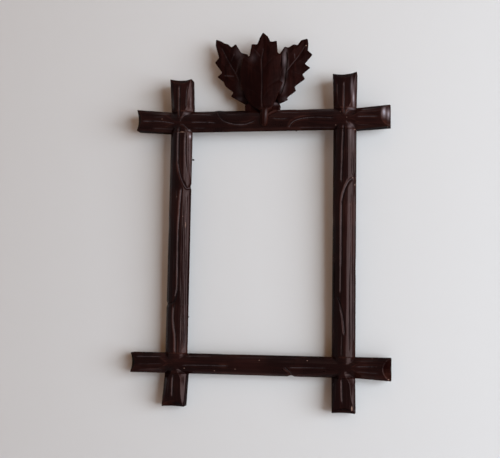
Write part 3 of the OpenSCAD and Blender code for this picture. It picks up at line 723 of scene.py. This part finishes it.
def store_wear(mesh, spacing, line, painted_highlights, end_grain=None):
    """Keeps what the finish needs at each point: worn edges, hollows, chipped places, dust with painted
    highlights, the bare back and how matt the wood is on its sides and, if its axis is given, on its end
    grain."""
    points = mesh_points(mesh)
    normals = read_vectors(mesh.vertex_normals, "vector")
    around = neighbour_mean(mesh)
    mean = np.stack([around(points[:, axis]) for axis in range(3)], 1)
    bend = ((points - mean) * normals).sum(1) / (spacing / MM)
    for _ in range(2):
        bend = (bend + around(bend)) / 2
    lean = np.abs(normals[:, Y])
    shoulder = between(lean, *SHOULDER_LEAN) * between(lean, *SHOULDER_END) * (points[:, Y] < -JOINT_DEPTH)
    side = between(lean, *SIDE_LEAN)
    if end_grain is not None:
        side = np.maximum(side, between(np.abs(normals[:, end_grain]), *END_LEAN))
    store(mesh, "worn", np.maximum(ease(bend / FULL_BEND), SHOULDER_WEAR * shoulder))
    store(mesh, "hollow", ease(-bend / FULL_BEND))
    store(mesh, "bare", spots(points, normals, CHIPS))
    # Dust along the cuts and painted highlights in the listed spots, kept as one value
    store(mesh, "dust", np.maximum(line, spots(points, normals, painted_highlights)))
    store(mesh, "back", between(normals[:, Y], *BACK_LEAN))
    store(mesh, "side", side)


class Value:
    """One output of a shader node, so that shader maths reads as an expression."""

    def __init__(self, finish, socket):
        self.finish, self.socket = finish, socket

    def maths(self, operation, *others):
        values = dict(enumerate((self, *others)))
        return self.finish.node("ShaderNodeMath", {"operation": operation}, values)

    def __add__(self, other):
        return self.maths("ADD", other)

    def __radd__(self, other):
        return self.maths("ADD", other)

    def __sub__(self, other):
        return self.maths("SUBTRACT", other)

    def __rsub__(self, other):
        return self.finish.node("ShaderNodeMath", {"operation": "SUBTRACT"}, {0: other, 1: self})

    def __mul__(self, other):
        return self.maths("MULTIPLY", other)

    def __rmul__(self, other):
        return self.maths("MULTIPLY", other)

    def clip(self):
        """The value held between 0 and 1."""
        return self.finish.node("ShaderNodeClamp", {}, {0: self})

    def ramp(self, low, high):
        """0 at low, 1 at high, and a smooth way between them."""
        settings = {"interpolation_type": "SMOOTHSTEP"}
        return self.finish.node("ShaderNodeMapRange", settings, {0: self, 1: low, 2: high})


class Finish:
    """The node tree of one material or of the world."""

    def __init__(self, owner):
        owner.use_nodes = True
        self.tree = owner.node_tree
        self.tree.nodes.clear()

    def node(self, kind, settings, values, output=0):
        """Adds a node, sets it up, fills its sockets with numbers or links, and gives one output."""
        made = self.tree.nodes.new(kind)
        for name, setting in settings.items():
            setattr(made, name, setting)
        for name, value in values.items():
            if isinstance(value, Value):
                self.tree.links.new(value.socket, made.inputs[name])
            else:
                made.inputs[name].default_value = value
        return Value(self, made.outputs[output])

    def mix(self, factor, first, second):
        """A colour between two others."""
        return self.node("ShaderNodeMix", {"data_type": "RGBA"}, {0: factor, 6: first, 7: second}, 2)

    def mix_shaders(self, factor, first, second):
        """A shader between two others."""
        return self.node("ShaderNodeMixShader", {}, {0: factor, 1: first, 2: second})

    def matt(self, colour):
        """A plain matt surface."""
        return self.node("ShaderNodeBsdfDiffuse", {}, {"Color": colour})

    def noise(self, where, scale, detail=3.0, roughness=0.55, distortion=0.0):
        """A cloudy pattern, finer at a greater scale."""
        return self.node("ShaderNodeTexNoise", {}, {
            "Vector": where, "Scale": scale, "Detail": detail, "Roughness": roughness,
            "Distortion": distortion})

    def place(self, stretch=(1, 1, 1), turn=(0, 0, 0)):
        """The piece's own coordinates in metres, stretched and turned."""
        where = self.node("ShaderNodeTexCoord", {}, {}, "Object")
        return self.node("ShaderNodeMapping", {}, {"Vector": where, "Scale": stretch, "Rotation": turn})

    def stored(self, name):
        """A number that the mesh keeps at each point."""
        return self.node("ShaderNodeAttribute", {"attribute_name": name}, {}, "Fac")

    def seen_directly(self):
        """1 for what the camera sees, itself or in metal or through glass, and 0 for the light it casts."""
        camera, glossy, clear = (self.node("ShaderNodeLightPath", {}, {}, name) for name in (
            "Is Camera Ray", "Is Glossy Ray", "Is Transmission Ray"))
        return (camera + glossy + clear).clip()

    def bump(self, height, distance, strength=1.0):
        """A normal that a height in shares of a distance in metres bends."""
        return self.node("ShaderNodeBump", {}, {
            "Height": height, "Distance": distance, "Strength": strength})

    def surface(self, shader, kind="ShaderNodeOutputMaterial"):
        """Links a shader to the end of the tree."""
        self.tree.links.new(shader.socket, self.tree.nodes.new(kind).inputs["Surface"])


def opaque(colour):
    """A colour with full alpha."""
    return (*colour, 1.0)


def darker(colour, share):
    """A share of a colour, with full alpha."""
    return opaque(part * share for part in colour)


def lacquered_wood(name, stretch, turn=(0, 0, 0), gloss=None, shine=0.1, coat=0.01):
    """Dark stained wood under satin lacquer, rubbed on its edges, chipped in places, dusty in its cuts,
    lightened with painted highlights along its cuts and in listed spots and a paler painted glint in the
    strongest, matt on its sides and bare at the back. The stretch and turn lay the grain along the piece."""
    colours = bpy.context.scene.frame_finish
    material = bpy.data.materials.new(name)
    finish = Finish(material)
    along = finish.place(stretch, turn)
    plain = finish.place()
    grain = finish.noise(along, 620, 5, 0.6, 0.4)
    streaks = finish.noise(along, 150, 3, 0.5, 1.2)
    patches = finish.noise(plain, 34, 3, 0.55)
    specks = finish.noise(plain, 900, 2, 0.6)
    worn, hollow, bare, back, side, dust = (
        finish.stored(part) for part in ("worn", "hollow", "bare", "back", "side", "dust"))

    thin = streaks.ramp(0.46, 0.72) * 0.6 + patches.ramp(0.42, 0.7) * 0.5 + grain.ramp(0.5, 0.8) * 0.25
    colour = finish.mix(thin.clip(), opaque(colours.stain), opaque(colours.stain_light))
    rubbed = (worn * patches.ramp(0.35, 0.62) * (0.45 + grain.ramp(0.35, 0.65) * 0.55)).clip()
    colour = finish.mix(rubbed * 0.5, colour, opaque(colours.rubbed))
    colour = finish.mix(hollow * 0.6, colour, darker(colours.stain, 0.35))
    # Dust in the cuts and painted highlights: the cuts' bottom lines and the listed spots are lightened
    # towards a lilac grey
    dust_and_highlight_share = (dust * (0.4 + streaks)).clip() * patches.ramp(0.2, 0.6)
    colour = finish.mix(dust_and_highlight_share, colour, opaque(colours.dust))
    # Painted glint: the strongest listed spots are lightened further, towards a pale blue grey
    colour = finish.mix(((dust - 0.9) * (streaks * 2.0)).clip(), colour, opaque(colours.painted_glint))
    chipped = (bare * (0.6 + specks * 0.9)).ramp(0.45, 0.75)
    colour = finish.mix(chipped, colour, opaque(colours.bare))
    sawn = finish.mix(grain.ramp(0.35, 0.7), opaque(colours.back), darker(colours.back, 0.55))
    colour = finish.mix(back * (0.75 + patches * 0.4), colour, sawn)

    rough = (gloss or colours.gloss) + streaks * 0.1 + (patches - 0.5) * 0.12
    rough = (rough + chipped * 0.25 + back * 0.32 + hollow * 0.12).clip()
    height = grain * 0.5 + streaks * 0.8 + specks * 0.12 - chipped * 1.5
    lacquer = finish.node("ShaderNodeBsdfPrincipled", {}, {
        "Base Color": colour, "Roughness": rough, "Normal": finish.bump(height, 0.0002, 0.6),
        "Specular IOR Level": shine, "Specular Tint": opaque(colours.sheen), "Coat Roughness": 0.2,
        "Coat Weight": (coat * (1.0 - back) - chipped * 0.2).clip()})
    finish.surface(finish.mix_shaders(side * 0.9, lacquer, finish.matt(colour)))
    return material


def metal(name, colour, tarnish, rough):
    """Old metal with darker, duller patches and fine scratches."""
    material = bpy.data.materials.new(name)
    finish = Finish(material)
    patches = finish.noise(finish.place(), 420, 4, 0.6)
    scratches = finish.noise(finish.place((1, 1, 0.12), (0.4, 0.2, 0.7)), 2600, 3, 0.6)
    dull = patches.ramp(0.4, 0.68)
    shader = finish.node("ShaderNodeBsdfPrincipled", {}, {
        "Base Color": finish.mix(dull * tarnish, opaque(colour), darker(colour, 0.3)),
        "Metallic": 1.0 - dull * tarnish * 0.35,
        "Roughness": (rough + dull * 0.22 + scratches * 0.1).clip(),
        "Normal": finish.bump(scratches + patches * 0.6, 0.00004, 0.6)})
    finish.surface(shader)
    return material


def birch(name):
    """Plain turned birch, for the dowels."""
    colour = bpy.context.scene.frame_finish.birch
    material = bpy.data.materials.new(name)
    finish = Finish(material)
    grain = finish.noise(finish.place((1, 1, 0.08)), 1500, 4, 0.6)
    shader = finish.node("ShaderNodeBsdfPrincipled", {}, {
        "Base Color": finish.mix(grain.ramp(0.35, 0.7), opaque(colour), darker(colour, 0.6)),
        "Roughness": 0.55 + grain * 0.2, "Normal": finish.bump(grain, 0.00005, 0.5)})
    finish.surface(shader)
    return material


def keep(piece, body, node, material):
    """Gives a finished piece its material, its body and the node that it stands for."""
    piece.data.materials.clear()
    piece.data.materials.append(material)
    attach(piece, body)
    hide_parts(node)


def battens(form):
    """The four battens with their middle lines in millimetres."""
    side, top = form.stile_gap / MM / 2, form.top_height / MM
    bottom = top - form.rail_gap / MM
    stile, top_rail = form.stile_width / MM, form.top_rail_width / MM
    bottom_rail = form.bottom_rail_width / MM
    heights = (bottom - bottom_rail / 2, top + top_rail / 2)
    outer = side + stile / 2
    return (
        Batten("left_stile", Z, -side, stile, heights),
        Batten("right_stile", Z, side, stile, heights, (Tip(), Tip(spread=0.8, slant=1.4))),
        Batten("top_rail", X, top, top_rail, (-outer, outer), (Tip(), Tip(longer=3.5))),
        Batten("bottom_rail", X, bottom, bottom_rail, (-outer, outer), (Tip(), Tip(spread=1.0, longer=2.5))),
    )


class FRAME_OT_carve_battens(bpy.types.Operator):
    """Carves the two stiles and the two rails"""

    bl_idname = "picture_frame.carve_battens"
    bl_label = "Carve the battens"

    def execute(self, context):
        form = context.scene.frame_form
        made = battens(form)
        stiles = [batten for batten in made if batten.along == Z]
        materials = {
            Z: lacquered_wood("stile_lacquer", (1, 1, 0.07)),
            X: lacquered_wood("rail_lacquer", (0.07, 1, 1)),
        }
        for batten in made:
            block = carving_block(batten.node, form.grain)
            points = mesh_points(block.data)
            normals = read_vectors(block.data.vertex_normals, "vector")
            x, z = points[:, X], points[:, Z]
            height = crossed_front(form, batten, () if batten in stiles else stiles, x, z)
            across, along = (x, z) if batten.along == Z else (z, x)
            depths, line = cut_depths(BATTEN_CUTS, x, z)
            height += form.tool_marks / MM * ripples(along, across - batten.centre) - depths
            share = front_share(points, normals)
            points[:, Y] = points[:, Y] * (1 - share) - height * share
            move_points(block.data, nick_edges(form, points, EDGE_NICKS))
            store_wear(block.data, form.grain, line * share, PAINTED_HIGHLIGHTS.get(batten.node, ()), batten.along)
            keep(block, "frame", batten.node, materials[batten.along])
        return {"FINISHED"}


def leaves(form):
    """The three leaves, with their roots where the solids have them."""
    rail_top = form.top_height / MM + form.top_rail_width / MM / 2
    return (
        Leaf("centre_leaf", (3.0, rail_top - 6.5), -2.0, 9.4, 6.0),
        Leaf("left_leaf", (-11.0, rail_top + 6), -29.0, 3.0, 2.0),
        Leaf("right_leaf", (8.5, rail_top + 6), 28.0, 3.0, 2.0),
    )


def rim_distance(points, normals):
    """Distance of each point from the leaf's outline, seen from the front."""
    rim = np.flatnonzero(np.abs(normals[:, Y]) < RIM_LEAN)
    tree = kdtree.KDTree(len(rim))
    for place, index in enumerate(rim):
        tree.insert((points[index, X], 0, points[index, Z]), place)
    tree.balance()
    return np.array([tree.find((point[X], 0, point[Z]))[2] for point in points])


class FRAME_OT_carve_leaves(bpy.types.Operator):
    """Carves the three leaves of the crest"""

    bl_idname = "picture_frame.carve_leaves"
    bl_label = "Carve the leaves"

    def execute(self, context):
        form = context.scene.frame_form
        full, rim, run = form.leaf_full / MM, form.leaf_rim / MM, form.leaf_run / MM
        for leaf in leaves(form):
            block = carving_block(leaf.node, form.leaf_grain)
            points = mesh_points(block.data)
            normals = read_vectors(block.data.vertex_normals, "vector")
            x, z = points[:, X], points[:, Z]
            lean = math.radians(leaf.lean)
            up = (x - leaf.root[0]) * math.sin(lean) + (z - leaf.root[1]) * math.cos(lean)
            across = (x - leaf.root[0]) * math.cos(lean) - (z - leaf.root[1]) * math.sin(lean)
            inward = np.clip(rim_distance(points, normals) / run, 0, 1)
            fullness = 1 - (1 - inward) ** 1.25
            depths, line = cut_depths(LEAF_CUTS[leaf.node], x, z)
            height = leaf.back + rim + (full - rim) * fullness - depths
            height += form.tool_marks / MM * LEAF_MARKS * ripples(up + across * 0.8, across * 1.3)
            share = between(-normals[:, Y], *FRONT_LEAN) * ease((up - leaf.start) / LEAF_START)
            points[:, Y] = points[:, Y] * (1 - share) - height * share
            move_points(block.data, points)
            store_wear(block.data, form.leaf_grain, line * share, PAINTED_HIGHLIGHTS[leaf.node])
            material = lacquered_wood(leaf.node + "_lacquer", (1, 1, 0.12), (0, -lean, 0), 0.36, 0.05, 0.0)
            keep(block, "frame", leaf.node, material)
        return {"FINISHED"}


def finished(name, solid):
    """Turns a bmesh into a smooth-shaded object with crisp edges kept."""
    mesh = bpy.data.meshes.new(name)
    solid.to_mesh(mesh)
    solid.free()
    mesh.polygons.foreach_set("use_smooth", [True] * len(mesh.polygons))
    mesh.set_sharp_from_angle(angle=math.radians(40))
    return add_object(name, mesh)


def turned(name, profile, start, direction, steps=28):
    """A round piece, turned from a profile of (radius, distance) in millimetres, laid along a direction."""
    solid = bmesh.new()
    line = [solid.verts.new((radius * MM, 0, distance * MM)) for radius, distance in profile]
    edges = [solid.edges.new(pair) for pair in zip(line, line[1:])]
    bmesh.ops.spin(
        solid, geom=line + edges, cent=(0, 0, 0), axis=(0, 0, 1), angle=math.tau, steps=steps,
        use_merge=True)
    bmesh.ops.remove_doubles(solid, verts=solid.verts, dist=MERGE)
    bmesh.ops.recalc_face_normals(solid, faces=solid.faces)
    turn = Vector((0, 0, 1)).rotation_difference(Vector(direction)).to_matrix().to_4x4()
    bmesh.ops.transform(solid, matrix=Matrix.Translation(start) @ turn, verts=solid.verts)
    return finished(name, solid)


def drive_nail(node, iron):
    """A wire nail with a rounded head, driven forwards from the back."""
    low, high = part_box(node)
    head, length = (high.x - low.x) / 2 / MM, (high.y - low.y) / MM
    shank = head * 0.45
    profile = ((0, 0), (head * 0.5, 0.03), (head * 0.85, 0.14), (head, 0.34), (head, 0.62),
               (head * 0.9, 0.8), (shank, 0.82), (shank, length - 2.2), (shank * 0.45, length - 0.6),
               (0, length))
    start = ((low.x + high.x) / 2, high.y, (low.z + high.z) / 2)
    keep(turned(node + "_driven", profile, start, (0, -1, 0)), "frame", node, iron)


def drive_brad(node, steel):
    """A headless brad in the edge of the rebate. The loose one sticks out a little and has a burred end."""
    low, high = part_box(node)
    size, middle = high - low, (low + high) / 2
    radius, length = size.y / 2 / MM, max(size.x, size.z) / MM
    burr, pulled = (1.5, 0.6 * MM) if node == LOOSE_BRAD else (1.0, 0)
    profile = ((0, 0), (radius * 0.8, 0), (radius, 0.15), (radius, length - 1.4),
               (radius * burr, length - 1.2), (radius * burr, length - 0.2), (radius * 0.7 * burr, length),
               (0, length))
    if size.x > size.z:
        start, direction = (low.x + pulled, middle.y, middle.z), (1, 0, 0)
    else:
        start, direction = (middle.x, middle.y, low.z + pulled), (0, 0, 1)
    keep(turned(node + "_brad", profile, start, direction), "frame", node, steel)


class FRAME_OT_drive_nails(bpy.types.Operator):
    """Makes the nails in the joints and the brads over the rebate, and gives the dowels under the leaves
    their birch finish
    """

    bl_idname = "picture_frame.drive_nails"
    bl_label = "Drive the nails"

    def execute(self, context):
        colours = context.scene.frame_finish
        iron = metal("old_iron", colours.iron, 0.8, 0.42)
        brad_steel = metal("brad_steel", [part * 0.2 for part in colours.iron], 0.9, 0.6)
        for node in sorted(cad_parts):
            if "nail" in node:
                drive_nail(node, iron)
            elif "sprig" in node:
                drive_brad(node, brad_steel)
        dowel_wood = birch("dowel_birch")
        for node in ("leaf_dowel_left", "leaf_dowel_right"):
            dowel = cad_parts[node]
            dowel.data.materials.clear()
            dowel.data.materials.append(dowel_wood)
        return {"FINISHED"}


def wire_ring(solid, radius, matrix, sides=20):
    """Edges of one ring of wire, placed by a matrix."""
    made = bmesh.ops.create_circle(solid, cap_ends=False, segments=sides, radius=radius, matrix=matrix)
    return list({edge for corner in made["verts"] for edge in corner.link_edges})


def draw_out(solid, edges, shift):
    """Draws a ring of wire out along a shift, and gives the ring at its new end."""
    grown = bmesh.ops.extrude_edge_only(solid, edges=edges)["geom"]
    corners = [part for part in grown if isinstance(part, bmesh.types.BMVert)]
    bmesh.ops.translate(solid, verts=corners, vec=shift)
    return [part for part in grown if isinstance(part, bmesh.types.BMEdge) and part.is_boundary]


def close_ends(solid):
    """Closes the open ends of a wire and turns its faces outwards."""
    bmesh.ops.holes_fill(solid, edges=[edge for edge in solid.edges if edge.is_boundary], sides=0)
    bmesh.ops.recalc_face_normals(solid, faces=solid.faces)


def scale_end(solid, edges, height, share):
    """Makes the ring of wire at a height thicker or thinner."""
    rim = {corner for edge in edges for corner in edge.verts}
    middle = Matrix.Translation((0, 0, -height))
    bmesh.ops.scale(solid, vec=(share, 1, share), verts=list(rim), space=middle)


def bent_staple():
    """The staple: a wire with two pointed legs in the rail, bent round at the back where the ring hangs."""
    low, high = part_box("hanger_staple")
    wire = (high.x - low.x) / 2
    leg = high.z - wire
    pivot = high.y - high.z
    point, point_share = wire * 3, 0.25
    solid = bmesh.new()
    facing = Matrix.Rotation(math.pi / 2, 4, "X")
    edges = wire_ring(solid, wire * point_share, Matrix.Translation((0, low.y, leg)) @ facing)
    grown = draw_out(solid, edges, (0, point, 0))
    scale_end(solid, grown, leg, 1 / point_share)
    grown = draw_out(solid, grown, (0, pivot - low.y - point, 0))
    bent = bmesh.ops.spin(
        solid, geom=grown, cent=(0, pivot, 0), axis=(1, 0, 0), angle=-math.pi, steps=18)["geom_last"]
    grown = [part for part in bent if isinstance(part, bmesh.types.BMEdge)]
    grown = draw_out(solid, grown, (0, low.y - pivot + point, 0))
    grown = draw_out(solid, grown, (0, -point, 0))
    scale_end(solid, grown, -leg, point_share)
    close_ends(solid)
    return finished("hanger_staple_bent", solid)


def bent_ring():
    """The ring: a wire bent round until its two ends nearly meet at the bottom."""
    low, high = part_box("hanger_ring")
    centre = (low + high) / 2
    wire = (high.y - low.y) / 2
    radius = (high.z - low.z) / 2 - wire
    joint = math.radians(7)
    solid = bmesh.new()
    turn = Matrix.Rotation(math.pi + joint / 2, 4, "Y")
    start = Matrix.Translation(centre) @ turn @ Matrix.Translation((0, 0, radius))
    edges = wire_ring(solid, wire, start @ Matrix.Rotation(math.pi / 2, 4, "Y"))
    bmesh.ops.spin(solid, geom=edges, cent=centre, axis=(0, 1, 0), angle=math.tau - joint, steps=72)
    close_ends(solid)
    return finished("hanger_ring_bent", solid)


class FRAME_OT_hang_ring(bpy.types.Operator):
    """Makes the brass staple behind the top rail and the ring that swings in it"""

    bl_idname = "picture_frame.hang_ring"
    bl_label = "Hang the ring"

    def execute(self, context):
        brass = metal("aged_brass", context.scene.frame_finish.brass, 0.75, 0.3)
        keep(bent_staple(), "frame", "hanger_staple", brass)
        keep(bent_ring(), "ring", "hanger_ring", brass)
        return {"FINISHED"}


def plane(name, matrix, material):
    """A flat square of the stage."""
    solid = bmesh.new()
    bmesh.ops.create_grid(solid, x_segments=1, y_segments=1, size=STAGE_SIZE / 2, matrix=matrix)
    mesh = bpy.data.meshes.new(name)
    solid.to_mesh(mesh)
    solid.free()
    mesh.materials.append(material)
    add_object(name, mesh)


def put_up_wall(look):
    """The wall behind the frame, which lets light and views from behind through."""
    paint = bpy.data.materials.new("wall_paint")
    finish = Finish(paint)
    pale = finish.matt(opaque(look.wall))
    clear = finish.node("ShaderNodeBsdfTransparent", {}, {})
    behind = finish.node("ShaderNodeNewGeometry", {}, {}, "Backfacing")
    finish.surface(finish.mix_shaders(finish.seen_directly() * (1 - behind), clear, pale))
    upright = Matrix.Rotation(math.pi / 2 - look.lean, 4, "X")
    plane("wall", Matrix.Translation((0, look.wall_gap, 0)) @ upright, paint)


def lay_floor(look):
    """The pale floor, which looks nearly even to the camera."""
    boards = bpy.data.materials.new("floor_paint")
    finish = Finish(boards)
    lit = finish.matt(opaque(look.wall))
    even = finish.node("ShaderNodeEmission", {}, {"Color": opaque(look.wall)})
    finish.surface(finish.mix_shaders(finish.seen_directly() * EVEN_FLOOR, lit, even))
    plane("floor", Matrix.Translation((0, 0, -FLOOR_DROP)), boards)


def light_room(context, look):
    """The light from all round, a pale background, and the lamps."""
    world = bpy.data.worlds.new("soft_room")
    context.scene.world = world
    finish = Finish(world)
    glow = finish.node("ShaderNodeBackground", {}, {"Color": opaque(look.glow), "Strength": look.ambient})
    pale = finish.node("ShaderNodeBackground", {}, {"Color": opaque(look.wall)})
    finish.surface(finish.mix_shaders(finish.seen_directly(), glow, pale), "ShaderNodeOutputWorld")
    for name, lamp in LAMPS.items():
        light = bpy.data.lights.new(name, "AREA")
        light.shape = "RECTANGLE"
        light.size, light.size_y = lamp.size
        light.energy = getattr(look, lamp.power)
        light.color = lamp.colour
        made = bpy.data.objects.new(name, light)
        made.location = lamp.place
        made.rotation_euler = (Vector(AIM) - Vector(lamp.place)).to_track_quat("-Z", "Y").to_euler()
        context.scene.collection.objects.link(made)


def place_camera(context):
    """The camera, where the photograph was taken from."""
    lens = bpy.data.cameras.new("camera")
    lens.sensor_width, lens.lens = CAMERA_SENSOR, CAMERA_LENS
    camera = bpy.data.objects.new("camera", lens)
    pan, rise, roll = (math.radians(angle) for angle in CAMERA_TURN)
    camera.matrix_world = (Matrix.Translation(CAMERA_PLACE) @ Matrix.Rotation(pan, 4, "Z")
                           @ Matrix.Rotation(math.pi / 2 + rise, 4, "X") @ Matrix.Rotation(roll, 4, "Z"))
    context.scene.collection.objects.link(camera)
    context.scene.camera = camera


class FRAME_OT_set_stage(bpy.types.Operator):
    """Sets up the wall, the floor, the light and the camera"""

    bl_idname = "picture_frame.set_stage"
    bl_label = "Set the stage"

    def execute(self, context):
        look = context.scene.frame_stage
        put_up_wall(look)
        lay_floor(look)
        light_room(context, look)
        context.scene.view_settings.view_transform = "Standard"
        place_camera(context)
        return {"FINISHED"}


class FRAME_PT_steps(bpy.types.Panel):
    """Lists the steps that make the frame"""

    bl_label = "Picture frame"
    bl_idname = "FRAME_PT_steps"
    bl_space_type = "VIEW_3D"
    bl_region_type = "UI"
    bl_category = "Picture frame"

    def draw(self, context):
        for step in STEPS:
            self.layout.operator(step.bl_idname)
        for group in (context.scene.frame_form, context.scene.frame_finish, context.scene.frame_stage):
            box = self.layout.box()
            for name in group.__annotations__:
                box.prop(group, name)


STEPS = (
    FRAME_OT_carve_battens, FRAME_OT_carve_leaves, FRAME_OT_drive_nails, FRAME_OT_hang_ring,
    FRAME_OT_set_stage,
)
GROUPS = {"frame_form": FrameForm, "frame_finish": FrameFinish, "frame_stage": FrameStage}


def register():
    for kind in (*GROUPS.values(), *STEPS, FRAME_PT_steps):
        bpy.utils.register_class(kind)
    for name, group in GROUPS.items():
        setattr(bpy.types.Scene, name, bpy.props.PointerProperty(type=group))


def unregister():
    for name in GROUPS:
        delattr(bpy.types.Scene, name)
    for kind in (FRAME_PT_steps, *reversed(STEPS), *reversed(GROUPS.values())):
        bpy.utils.unregister_class(kind)


def main():
    register()
    bpy.ops.picture_frame.carve_battens()
    bpy.ops.picture_frame.carve_leaves()
    bpy.ops.picture_frame.drive_nails()
    bpy.ops.picture_frame.hang_ring()
    bpy.ops.picture_frame.set_stage()


if __name__ == "__main__":
    main()
